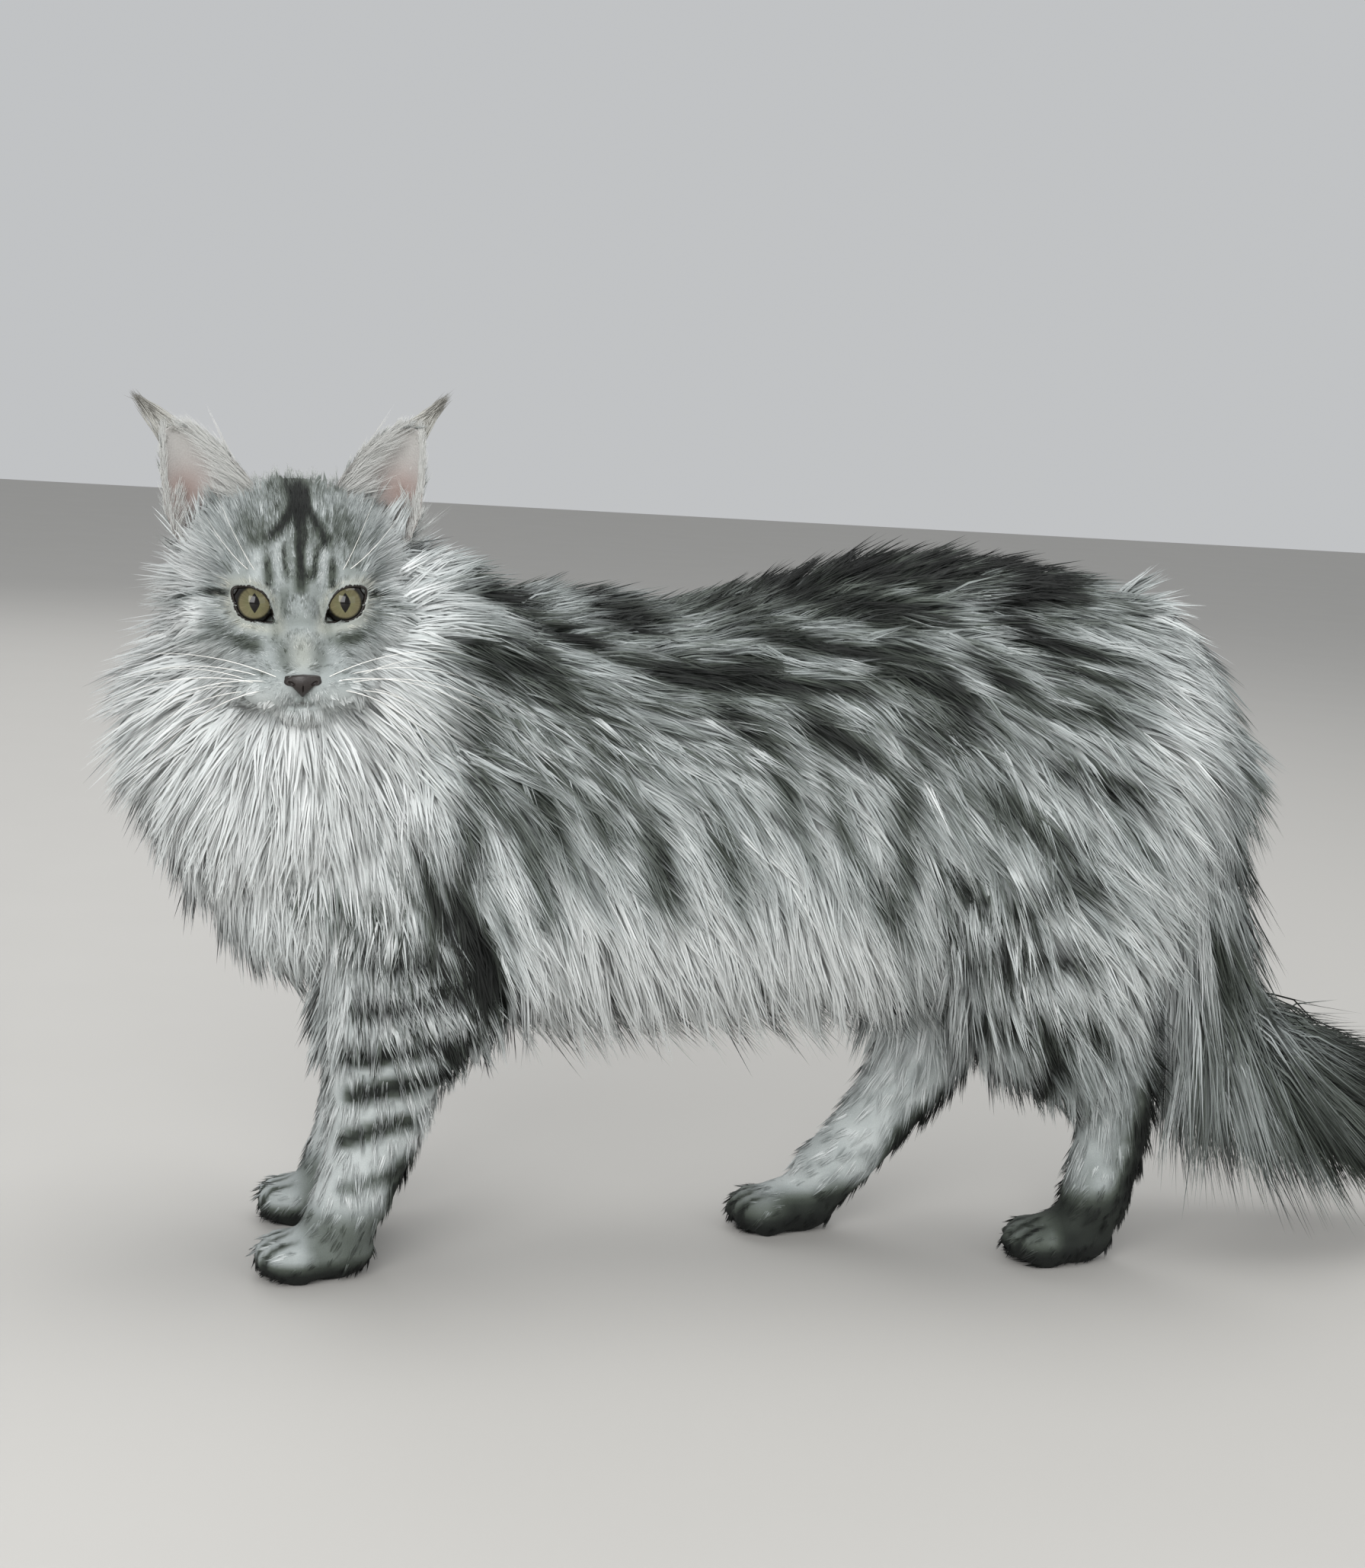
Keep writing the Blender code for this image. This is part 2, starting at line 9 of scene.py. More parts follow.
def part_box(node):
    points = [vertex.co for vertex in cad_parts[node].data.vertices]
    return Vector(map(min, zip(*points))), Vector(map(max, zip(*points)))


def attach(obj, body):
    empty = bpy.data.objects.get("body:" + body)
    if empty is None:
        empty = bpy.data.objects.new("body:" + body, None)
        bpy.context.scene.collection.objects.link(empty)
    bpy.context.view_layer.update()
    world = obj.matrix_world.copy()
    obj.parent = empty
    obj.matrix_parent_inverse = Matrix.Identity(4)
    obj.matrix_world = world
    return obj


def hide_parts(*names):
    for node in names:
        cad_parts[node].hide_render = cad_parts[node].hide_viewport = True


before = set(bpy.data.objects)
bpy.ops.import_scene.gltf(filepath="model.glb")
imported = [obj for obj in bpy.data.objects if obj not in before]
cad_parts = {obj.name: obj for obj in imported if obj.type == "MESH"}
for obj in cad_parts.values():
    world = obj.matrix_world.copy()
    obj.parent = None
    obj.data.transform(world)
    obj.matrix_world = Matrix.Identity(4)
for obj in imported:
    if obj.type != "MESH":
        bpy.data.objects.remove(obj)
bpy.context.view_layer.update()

# Where things are. The cat faces -X and its left side is -Y. Places are worked in centimetres
# from the floor between the paws, and the eyeballs of the frame tie that point to the frame.
CM = 0.01
EYES_MIDPOINT = np.array([-18.55, -8.4, 33.5])
EYEBALL_RADIUS = 1.08


def unit(vectors):
    """Vectors divided by their own lengths, along the last axis."""
    vectors = np.asarray(vectors, float)
    return vectors / (np.linalg.norm(vectors, axis=-1, keepdims=True) + 1e-12)


FORWARD = unit([-0.03, -0.9987, 0.04])
left_eye, right_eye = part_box("eye_left"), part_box("eye_right")
eyes_centre = np.mean([left_eye[0], left_eye[1], right_eye[0], right_eye[1]], axis=0)
SHIFT = eyes_centre - (EYES_MIDPOINT - FORWARD * EYEBALL_RADIUS) * CM


def metres(points):
    """Frame metres of points given in body centimetres."""
    return np.asarray(points, float) * CM + SHIFT


# The viewpoint of the photograph: a little above the cat's back, 1.4 m away, tipped down and
# rolled, so that the floor falls to the right of the picture.
def add_object(name, data):
    """A new object with the data, linked to the scene."""
    thing = bpy.data.objects.new(name, data)
    bpy.context.scene.collection.objects.link(thing)
    return thing


CAMERA_PLACE = (-28.9, -138.0, 45.5)
CAMERA_HEADING = np.arctan2(0.218, 0.976)
CAMERA_DIP = np.radians(8.5)
CAMERA_ROLL = np.radians(3.8)
FOCAL_PIXELS = 3675.0
FRAME_HEIGHT_PIXELS = 2059.0
SENSOR_MM = 36.0

heading = np.array([np.sin(CAMERA_HEADING), np.cos(CAMERA_HEADING), 0.0])
view_forward = heading * np.cos(CAMERA_DIP) - np.array([0.0, 0.0, np.sin(CAMERA_DIP)])
level_right = np.array([np.cos(CAMERA_HEADING), -np.sin(CAMERA_HEADING), 0.0])
level_up = np.cross(level_right, view_forward)
view_right = level_right * np.cos(CAMERA_ROLL) + level_up * np.sin(CAMERA_ROLL)
view_up = level_up * np.cos(CAMERA_ROLL) - level_right * np.sin(CAMERA_ROLL)
camera_data = bpy.data.cameras.new("camera")
camera_data.sensor_width = SENSOR_MM
camera_data.lens = SENSOR_MM * FOCAL_PIXELS / FRAME_HEIGHT_PIXELS
camera = add_object("camera", camera_data)
turn = Matrix(np.column_stack([view_right, view_up, -view_forward]).tolist())
camera.matrix_world = Matrix.Translation(Vector(metres(CAMERA_PLACE))) @ turn.to_4x4()
bpy.context.scene.camera = camera


# The studio: a pale floor and large soft lamps. Colours are hex values turned linear by one
# function, and one helper adds a shader node with its settings and links.
def srgb(hex_colour):
    """Red, green and blue of a hex colour, each from 0 to 1."""
    return np.array([int(hex_colour[i:i + 2], 16) for i in (1, 3, 5)]) / 255.0


def to_linear(codes):
    """Linear values of sRGB values, by the sRGB transfer curve."""
    return np.where(codes <= 0.04045, codes / 12.92, ((codes + 0.055) / 1.055) ** 2.4)


def linear(hex_colour):
    """Linear red, green and blue of a hex colour."""
    return to_linear(srgb(hex_colour))


def add_node(material, kind, links=(), **settings):
    """A shader node with socket values, properties and (socket, output) links."""
    node = material.node_tree.nodes.new(kind)
    for name, value in settings.items():
        socket = node.inputs.get(name.replace("_", " ")) if name[0].isupper() else None
        if socket is None:
            setattr(node, name, value)
        else:
            socket.default_value = value
    for socket, output in links:
        material.node_tree.links.new(output, node.inputs[socket])
    return node


def new_material(name):
    """A material with no nodes yet."""
    material = bpy.data.materials.new(name)
    material.use_nodes = True
    material.node_tree.nodes.clear()
    return material


FLOOR_SIZE = 14.0
# A pattern's scale is cells in a metre, so it is worked out from the cells in a millimetre
PER_MM = 1000.0
floor_mesh = bpy.data.meshes.new("floor")
half = FLOOR_SIZE / 2
floor_mesh.from_pydata([(-half, -half, 0), (half, -half, 0), (half, half, 0), (-half, half, 0)],
                       [], [(0, 1, 2, 3)])
floor = add_object("floor", floor_mesh)
# Matt painted studio floor: even and pale, with a faint mottle in its gloss, 11 cm wide
floor_paint = new_material("studio_floor_paint")
floor_place = add_node(floor_paint, "ShaderNodeTexCoord")
floor_mottle = add_node(floor_paint, "ShaderNodeTexNoise",
                        [("Vector", floor_place.outputs["Object"])], Scale=0.009 * PER_MM)
floor_gloss = add_node(floor_paint, "ShaderNodeMapRange",
                       [("Value", floor_mottle.outputs["Fac"])], To_Min=0.6, To_Max=0.75)
floor_shader = add_node(floor_paint, "ShaderNodeBsdfPrincipled",
                        [("Roughness", floor_gloss.outputs["Result"])],
                        Base_Color=(*linear("#B2B0AC"), 1.0))
add_node(floor_paint, "ShaderNodeOutputMaterial", [("Surface", floor_shader.outputs["BSDF"])])
floor_mesh.materials.append(floor_paint)

world = bpy.data.worlds.new("studio")
world.use_nodes = True
studio_air = world.node_tree.nodes["Background"].inputs
studio_air["Color"].default_value = (*linear("#DADCDE"), 1.0)
studio_air["Strength"].default_value = 0.76
bpy.context.scene.world = world
bpy.context.scene.view_settings.view_transform = "Standard"

# Lamps: name, place in metres, watts, side length
LAMPS = [
    ("key_lamp", (-1.15, -2.6, 1.4), 86.0, 1.9),
    ("fill_lamp", (1.8, -2.3, 1.2), 18.0, 2.0),
    ("top_lamp", (0.3, 0.2, 2.8), 38.0, 2.0),
    ("back_lamp", (-0.6, 2.6, 1.8), 18.0, 2.0),
]
LAMPS_AIM = Vector((0.0, 0.0, 0.2))
for lamp_name, lamp_place, watts, lamp_side in LAMPS:
    lamp_data = bpy.data.lights.new(lamp_name, "AREA")
    lamp_data.energy = watts
    lamp_data.size = lamp_side
    lamp = add_object(lamp_name, lamp_data)
    lamp.location = lamp_place
    lamp.rotation_euler = (LAMPS_AIM - lamp.location).to_track_quat("-Z", "Y").to_euler()


# Skin of trunk, neck, legs, paws and tail: the tanned hide stretched over the carved body, here
# round lofts along the bones' lines, fused into one closed surface. It lies under the coat by
# the coat's own depth, from 4 mm on the feet to 4 cm in the ruff and the tail.
def cubic(p0, p1, p2, p3, t):
    """Catmull-Rom: the cubic from p1 to p2 with slopes toward their neighbours, t from 0 to 1."""
    return 0.5 * (2 * p1 + (p2 - p0) * t + (2 * p0 - 5 * p1 + 4 * p2 - p3) * t ** 2
                  + (3 * p1 - p0 - 3 * p2 + p3) * t ** 3)


def between_stations(stations, steps):
    """Rows between the stations: one cubic through every column at once."""
    rows = np.asarray(stations, float)
    padded = np.vstack([2 * rows[0] - rows[1], rows, 2 * rows[-1] - rows[-2]])
    t = np.linspace(0.0, 1.0, steps, endpoint=False)[None, :, None]
    curve = cubic(*(padded[i:i + len(rows) - 1, None, :] for i in range(4)), t)
    return np.vstack([curve.reshape(-1, rows.shape[1]), rows[-1:]])


def closed_grid(rings, sides):
    """Faces of a tube of rings by sides points, each ring closed, with a cap at both ends."""
    ring = np.arange(rings - 1)[:, None] * sides
    i = np.arange(sides)[None, :]
    j = (i + 1) % sides
    quads = np.stack([ring + i, ring + j, ring + sides + j, ring + sides + i], -1)
    caps = [list(range(sides - 1, -1, -1)), list(range((rings - 1) * sides, rings * sides))]
    return quads.reshape(-1, 4).tolist() + caps


ROUND_END = np.array([0.35, 0.65, 0.87, 0.97, 0.999])


def limb(stations, steps=6, sides=28, across=(0.0, 1.0, 0.0)):
    """A limb through x, y, z, half depth, half width: each ring is the centre plus
    depth cos a along the front-back direction plus width sin a along the side direction, and
    each end is rounded by rings that shrink by sqrt(1 - t^2)."""
    rows = between_stations(stations, steps)
    along = unit(np.gradient(rows[:, :3], axis=0))
    side = unit(np.asarray(across) - along * (along @ np.asarray(across))[:, None])
    deep = np.cross(along, side)
    a = np.linspace(0.0, 2 * np.pi, sides, endpoint=False)[None, :, None]
    rings = (rows[:, None, :3] + rows[:, 3, None, None] * np.cos(a) * deep[:, None, :]
             + rows[:, 4, None, None] * np.sin(a) * side[:, None, :])
    ends = []
    for end, sign in ((0, -1.0), (-1, 1.0)):
        t = ROUND_END[:, None, None]
        reach = 0.8 * min(rows[end, 3], rows[end, 4])
        ends.append(rows[end, :3] + (rings[end] - rows[end, :3]) * np.sqrt(1 - t * t)
                    + along[end] * sign * reach * t)
    rings = np.concatenate([ends[0][::-1], rings, ends[1]])
    return rings.reshape(-1, 3), closed_grid(len(rings), sides)


def trunk(sections, steps=6, sides=36):
    """The trunk through x, top, bottom, half width: each ring is an upright ellipse."""
    rows = np.asarray(sections, float)
    middle = (rows[:, 1] + rows[:, 2]) / 2
    height = (rows[:, 1] - rows[:, 2]) / 2
    zero = np.zeros(len(rows))
    stations = np.column_stack([rows[:, 0], zero, middle, height, rows[:, 3]])
    return limb(stations, steps, sides)


def ball(centre, radii, axes=np.eye(3), rings=18, sides=28):
    """An ellipsoid: centre plus radii times sines and cosines of two angles, along axes."""
    a = np.linspace(0.04, np.pi - 0.04, rings)[:, None]
    b = np.linspace(0.0, 2 * np.pi, sides, endpoint=False)[None, :]
    local = np.stack([radii[0] * np.sin(a) * np.cos(b), radii[1] * np.sin(a) * np.sin(b),
                      radii[2] * np.cos(a) * np.ones_like(b)], -1)
    return (np.asarray(centre) + local @ axes).reshape(-1, 3), closed_grid(rings, sides)


def mesh_piece(name, solids):
    """One object at the origin, in frame metres, from solids of body centimetres and faces."""
    mesh = bpy.data.meshes.new(name)
    points, faces, start = [], [], 0
    for solid_points, solid_faces in solids:
        points.append(metres(solid_points))
        faces += [[i + start for i in face] for face in solid_faces]
        start += len(solid_points)
    mesh.from_pydata(np.concatenate(points).tolist(), [], faces)
    return add_object(name, mesh)


def settle(piece):
    """The piece with its modifiers worked into its mesh."""
    depsgraph = bpy.context.evaluated_depsgraph_get()
    mesh = bpy.data.meshes.new_from_object(piece.evaluated_get(depsgraph))
    piece.modifiers.clear()
    piece.data = mesh
    return piece


# Trunk sections: x, top, bottom, half width. Limbs: x, y, z, half depth, half width. All cm.
TRUNK = [
    (-20.5, 28.5, 19.0, 3.0), (-16.5, 31.6, 16.2, 5.2), (-12.0, 32.6, 14.8, 6.4),
    (-6.0, 33.2, 14.4, 6.8), (0.0, 32.8, 15.0, 7.0), (6.0, 33.9, 15.4, 7.1),
    (12.0, 35.6, 15.8, 7.2), (18.0, 35.9, 16.6, 7.1), (23.0, 34.9, 18.5, 6.3),
    (26.6, 32.2, 21.0, 4.8), (28.6, 29.5, 23.5, 2.6),
]
NECK = [
    (-9.0, 0.0, 26.0, 6.6, 5.6), (-13.0, -0.8, 28.2, 6.2, 5.6), (-16.6, -2.6, 29.8, 5.6, 5.2),
    (-18.6, -3.9, 31.0, 4.6, 4.6),
]
FORELEG_LEFT = [
    (-9.9, -4.9, 25.0, 5.0, 2.6), (-11.0, -5.1, 18.6, 5.0, 2.6), (-12.4, -5.0, 13.6, 3.8, 2.4),
    (-13.1, -4.9, 10.4, 2.85, 2.1), (-13.5, -4.8, 7.6, 2.3, 1.95), (-14.1, -4.8, 4.9, 1.95, 1.85),
    (-15.0, -4.7, 2.7, 1.8, 1.75),
]
FORELEG_RIGHT = [
    (-9.1, 4.9, 25.0, 5.0, 2.6), (-10.2, 5.1, 18.6, 4.8, 2.6), (-11.4, 5.0, 13.6, 3.6, 2.4),
    (-12.3, 4.8, 10.4, 2.7, 2.1), (-12.9, 4.7, 7.6, 2.2, 1.95), (-13.5, 4.6, 4.9, 1.95, 1.85),
    (-14.3, 4.5, 2.7, 1.8, 1.75),
]
HINDLEG_LEFT = [
    (21.6, -3.6, 28.5, 6.0, 3.2), (20.6, -4.8, 22.5, 5.8, 3.1), (20.6, -4.8, 17.2, 4.8, 2.8),
    (22.2, -4.0, 13.2, 3.6, 2.3), (25.0, -3.2, 10.0, 2.4, 1.8), (25.7, -3.0, 7.6, 1.95, 1.65),
    (25.4, -2.9, 5.2, 1.85, 1.65), (25.0, -2.8, 3.0, 1.85, 1.7),
]
HINDLEG_RIGHT = [
    (20.0, 4.0, 28.5, 5.8, 3.2), (18.4, 4.9, 22.5, 5.4, 3.1), (17.4, 4.6, 17.0, 4.2, 2.7),
    (17.4, 3.9, 12.8, 3.2, 2.2), (16.6, 3.3, 9.2, 2.4, 1.8), (14.6, 3.0, 6.2, 1.95, 1.65),
    (12.9, 2.8, 4.2, 1.85, 1.65), (11.5, 2.7, 2.8, 1.8, 1.7),
]
TAIL = [
    (24.6, 0.0, 33.2, 2.2, 2.0), (27.6, 0.2, 30.6, 1.7, 1.6), (29.2, 0.5, 25.6, 1.35, 1.35),
    (29.9, 0.8, 20.4, 1.25, 1.25), (30.7, 1.1, 15.6, 1.2, 1.2), (33.0, 1.4, 11.8, 1.1, 1.1),
    (37.0, 1.7, 9.4, 1.0, 1.0), (41.4, 1.9, 7.6, 0.85, 0.85), (45.0, 2.0, 6.5, 0.65, 0.65),
    (47.6, 2.0, 6.0, 0.4, 0.4),
]
# Chest and throat under the ruff: centre and radii
CHEST = [
    ((-18.5, -3.3, 26.4), (5.6, 4.8, 6.6)), ((-16.7, -2.4, 21.2), (4.7, 4.4, 4.8)),
    ((-14.4, -2.0, 30.0), (4.6, 5.0, 4.2)),
]
PAWS = [
    ((-16.1, -4.7), (-0.98, -0.2)), ((-15.4, 4.5), (-1.0, 0.0)),
    ((23.3, -2.7), (-0.99, -0.1)), ((9.5, 2.7), (-0.99, -0.1)),
]
HALF_PAW, PAW_HALF_WIDTH, PAW_HEIGHT = 3.1, 2.0, 2.75


def paw(centre, ahead):
    """A paw: a flattened ball for the foot and four long balls for the toes, in an arc."""
    ahead = unit(np.array([*ahead, 0.0]))
    beside = np.array([-ahead[1], ahead[0], 0.0])
    axes = np.array([ahead, beside, [0.0, 0.0, 1.0]])
    middle = np.array([*centre, 0.0])
    solids = [ball(middle - ahead * 0.6 + (0, 0, 0.46 * PAW_HEIGHT),
                   (HALF_PAW * 0.8, PAW_HALF_WIDTH * 0.9, PAW_HEIGHT * 0.55), axes)]
    for side, reach in ((-0.68, 1.15), (-0.25, 1.6), (0.25, 1.6), (0.68, 1.15)):
        toe = middle + ahead * reach + beside * side * PAW_HALF_WIDTH * 1.05
        solids.append(ball(toe + (0, 0, 0.36 * PAW_HEIGHT), (1.5, 0.62, PAW_HEIGHT * 0.4), axes))
    return solids


BODY_GRAIN = 0.38
body_solids = [trunk(TRUNK)]
body_solids += [limb(r) for r in (NECK, FORELEG_LEFT, FORELEG_RIGHT, HINDLEG_LEFT, HINDLEG_RIGHT)]
body_solids.append(limb(TAIL, sides=20))
body_solids += [ball(*place_and_radii) for place_and_radii in CHEST]
for paw_centre, paw_ahead in PAWS:
    body_solids += paw(paw_centre, paw_ahead)
skin = mesh_piece("skin", body_solids)
fuse = skin.modifiers.new("fuse", "REMESH")
fuse.mode = "VOXEL"
fuse.voxel_size = BODY_GRAIN * CM
even = skin.modifiers.new("even", "SMOOTH")
even.factor = 0.5
even.iterations = 5
settle(skin)

# Skin of the head: one surface round the skull, worked out as the outermost place along each
# direction from inside the skull where a smooth blend of balls ends. Muzzle, whisker pads, chin,
# brows and cheeks are balls of the blend, and the eye openings and mouth line are taken out.
# Head places are across (to the cat's left), up and forward from midway between the corneas.
EYE_SPACING = 4.15
EYE = EYE_SPACING / 2
ACROSS = unit([0.9958, -0.074, 0.054])
ACROSS = unit(ACROSS - FORWARD * np.dot(ACROSS, FORWARD))
UP = np.cross(FORWARD, ACROSS)
HEAD_AXES = np.array([ACROSS, UP, FORWARD])


def from_head(places):
    """Body centimetres of places given across, up and forward on the head."""
    return EYES_MIDPOINT + np.asarray(places, float) @ HEAD_AXES


# Each row: across, up, forward, three radii, softness of the blend, cm; those off the middle
# stand for a pair, left and right
HEAD_BALLS = [
    (0.0, 0.9, -5.2, 4.3, 4.3, 4.6, 0.8), (0.0, 1.7, -3.1, 3.5, 3.1, 2.5, 0.8),
    (1.9, 1.15, -1.75, 1.45, 0.8, 1.05, 0.5), (2.7, -0.9, -2.7, 1.85, 1.7, 2.0, 0.7),
    (1.75, -1.7, -1.25, 1.5, 1.25, 1.35, 0.6), (0.0, 0.5, -1.35, 1.15, 1.5, 1.0, 0.6),
    (0.0, 3.1, -5.0, 3.5, 2.55, 2.9, 0.8), (0.0, -1.0, -0.55, 0.95, 1.5, 1.15, 0.45),
    (0.0, -2.3, 0.55, 0.86, 1.1, 1.2, 0.35), (0.0, -3.1, 1.35, 0.82, 0.72, 0.85, 0.25),
    (0.0, -2.9, -0.7, 2.5, 1.9, 2.0, 0.6), (1.3, -3.75, 0.72, 1.55, 1.02, 1.4, 0.3),
    (0.0, -4.55, 0.45, 1.25, 0.72, 1.15, 0.25), (1.7, -3.6, -2.4, 1.8, 1.6, 2.4, 0.8),
    (0.0, -3.4, -3.4, 2.9, 2.2, 3.2, 0.8), (0.0, -6.0, -2.1, 2.8, 1.7, 2.3, 0.9),
]
LID_RADIUS = EYEBALL_RADIUS + 0.13
# The opening between the lids, from the left eye's middle: across, up. The outer corner is high
# and the inner corner is low and near the nose.
OPENING = np.array([
    (0.98, 0.60), (0.56, 0.75), (0.12, 0.74), (-0.34, 0.53), (-0.68, 0.12), (-0.84, -0.38),
    (-0.90, -0.93), (-0.25, -0.93), (0.33, -0.82), (0.73, -0.50), (0.94, 0.05),
])


def rounded_loop(corners, count):
    """A closed curve of cubics through the corners, read at evenly spaced places."""
    ring = np.vstack([corners[-1:], corners, corners[:2]])
    at = np.arange(count) * len(corners) / count
    i = at.astype(int)
    return cubic(*(ring[i + k] for k in range(4)), (at - i)[:, None])


opening_loop = rounded_loop(OPENING, count=96)
opening_angle = np.arctan2(opening_loop[:, 1], opening_loop[:, 0])
opening_order = np.argsort(opening_angle)
opening_angle = opening_angle[opening_order]
opening_reach = np.hypot(*opening_loop.T)[opening_order]


def opening_share(across, up):
    """How far out a place lies in an eye's opening: 0 at the middle and 1 at the lids' edge.
    The place's distance divided by the opening's reach in that direction, nose side mirrored."""
    side = np.sign(across)
    x, y = side * across - EYE, up
    reach = np.interp(np.arctan2(y, x), opening_angle, opening_reach, period=2 * np.pi)
    return np.hypot(x, y) / reach


def blend(a, b, softness):
    """The smaller of two fields, rounded where they cross: the polynomial smooth minimum."""
    h = np.clip(0.5 + 0.5 * (b - a) / softness, 0.0, 1.0)
    return b + (a - b) * h - softness * h * (1 - h)


def ball_field(q, centre, radii):
    """About the distance from an ellipsoid: k0 (k0 - 1) / k1, with k0 and k1 the lengths of
    the offset over the radii and over their squares."""
    k0 = np.linalg.norm((q - centre) / radii, axis=1)
    k1 = np.linalg.norm((q - centre) / np.square(radii), axis=1)
    return k0 * (k0 - 1) / (k1 + 1e-9)


def head_field(q):
    """Negative inside the head: the blend of its balls and lids, less the eye openings."""
    field = np.full(len(q), 50.0)
    for aside, up, forward, *radii, softness in HEAD_BALLS:
        for across in sorted({aside, -aside}, reverse=True):
            field = blend(field, ball_field(q, (across, up, forward), radii), softness)
    folded = np.column_stack([np.abs(q[:, 0]) - EYE, q[:, 1], q[:, 2] + EYEBALL_RADIUS])
    from_eye = np.linalg.norm(folded, axis=1)
    field = blend(field, from_eye - LID_RADIUS, 0.3)
    face_on = np.square(folded[:, :2]).sum(1)
    ball_front = np.sqrt(np.maximum(EYEBALL_RADIUS ** 2 - face_on, 0.08)) - EYEBALL_RADIUS
    in_opening = (opening_share(q[:, 0], q[:, 1]) < 1.0) & (q[:, 2] > -EYEBALL_RADIUS)
    return np.where(in_opening, np.maximum(field, q[:, 2] - ball_front + 0.3), field)


def outermost(field, centre, directions, start, step=0.2):
    """Distance from the centre to the outermost zero of the field along each direction: steps
    inward from outside until the field is negative, then halves the last step."""
    inner = np.full(len(directions), 0.3)
    todo = np.arange(len(directions))
    for r in np.arange(start, 0.3, -step):
        hit = field(centre + directions[todo] * r) < 0
        inner[todo[hit]] = r
        todo = todo[~hit]
    outer = inner + step
    for _ in range(9):
        middle = (inner + outer) / 2
        hit = field(centre + directions * middle[:, None]) < 0
        inner = np.where(hit, middle, inner)
        outer = np.where(hit, outer, middle)
    return (inner + outer) / 2


def around(front_rings, back_rings, split, sides):
    """Directions over a sphere with its pole forward: across, up, forward from two angles,
    with the rings closer together in front of the split angle."""
    polar = np.concatenate([np.linspace(0.01, split, front_rings, endpoint=False),
                            np.linspace(split, np.pi - 0.02, back_rings)])[:, None]
    turn_angle = np.linspace(0.0, 2 * np.pi, sides, endpoint=False)[None, :]
    return np.stack([np.sin(polar) * np.cos(turn_angle), np.sin(polar) * np.sin(turn_angle),
                     np.cos(polar) * np.ones_like(turn_angle)], -1).reshape(-1, 3)


HEAD_MIDDLE = np.array([0.0, -1.2, -2.4])
HEAD_RINGS, HEAD_BACK_RINGS, HEAD_SIDES = 104, 28, 250
head_directions = around(HEAD_RINGS, HEAD_BACK_RINGS, split=1.45, sides=HEAD_SIDES)
head_reach = outermost(head_field, HEAD_MIDDLE, head_directions, start=9.4)
head_places = HEAD_MIDDLE + head_directions * head_reach[:, None]


def from_line(places, line):
    """Squared distance of places in two coordinates from the line through a row of points."""
    nearest = np.full(len(places), 1e6)
    for start, end in zip(line[:-1], line[1:]):
        run = np.subtract(end, start)
        t = np.clip(((places - start) @ run) / (run @ run + 1e-9), 0.0, 1.0)
        nearest = np.minimum(nearest, np.square(places - start - t[:, None] * run).sum(1))
    return nearest


def near_line(places, line, width):
    """1 on the line, falling as a bell of the given width: exp(-(d / w)^2 / 2)."""
    return np.exp(-0.5 * from_line(places, line) / width ** 2)


# The mouth line and the cleft of the upper lip, across and up, cm; the left half is mirrored
CLEFT = [(0.0, -3.95), (0.0, -4.5)]
MOUTH = [(0.0, -4.5), (0.3, -4.62), (0.75, -4.62)]
GROOVE_DEPTH, CLEFT_WIDTH, MOUTH_WIDTH = 0.12, 0.07, 0.08
mirrored = np.column_stack([np.abs(head_places[:, 0]), head_places[:, 1]])
groove = GROOVE_DEPTH * near_line(mirrored, CLEFT, CLEFT_WIDTH)
groove += GROOVE_DEPTH * near_line(mirrored, MOUTH, MOUTH_WIDTH)
on_front = head_places[:, 2] > -0.6
head_places -= head_directions * (groove * on_front)[:, None]
head_faces = closed_grid(HEAD_RINGS + HEAD_BACK_RINGS, HEAD_SIDES)
head = mesh_piece("head_part", [(from_head(head_places), head_faces)])

# Ears: thin cups of cartilage and skin, joined to the skull. Each is a stack of crescent rings
# between an inner and an outer edge, thin at the edges and cupped backward.
# Each row: inner edge across, up, forward; outer edge across, up, forward; depth of the cup
EAR_LEVELS = [
    (1.2, 2.6, -4.4, 3.9, 1.2, -5.0, 1.7), (1.5, 4.0, -4.1, 5.2, 2.3, -5.0, 2.0),
    (1.9, 5.3, -4.1, 5.95, 3.8, -5.1, 1.8), (2.75, 6.45, -4.4, 6.15, 5.3, -5.2, 1.4),
    (3.75, 7.35, -4.75, 6.2, 6.5, -5.3, 0.95), (4.8, 7.95, -5.05, 6.15, 7.4, -5.35, 0.5),
    (5.75, 8.1, -5.25, 6.05, 7.9, -5.38, 0.08),
]
EAR_THICKNESS = 0.13
EAR_SPANS = 26
ear_rows = between_stations(EAR_LEVELS, steps=8)


def ear(side):
    """Rings from root to tip: out along the front from inner to outer edge and back behind.
    The cup's depth follows 1 - u^2 across the ear, and the edges close over a round lip."""
    u = np.sin(np.linspace(-np.pi / 2, np.pi / 2, EAR_SPANS))
    share = (1 + u)[None, :, None] / 2
    line = ear_rows[:, None, :3] * (1 - share) + ear_rows[:, None, 3:6] * share
    cup = ear_rows[:, 6, None] * (1 - u ** 2)[None, :]
    lip = EAR_THICKNESS / 2 * np.sqrt(1 - np.minimum(u ** 2, 0.97))[None, :]
    front_face, back_face = line.copy(), line.copy()
    front_face[..., 2] += lip - cup
    back_face[..., 2] -= lip + cup * 1.02
    rings = np.concatenate([front_face, back_face[:, ::-1]], axis=1)
    rings[..., 0] *= side
    return from_head(rings.reshape(-1, 3)), closed_grid(len(rings), 2 * EAR_SPANS)


ear_parts = [mesh_piece("ear_part", [ear(side)]) for side in (1.0, -1.0)]


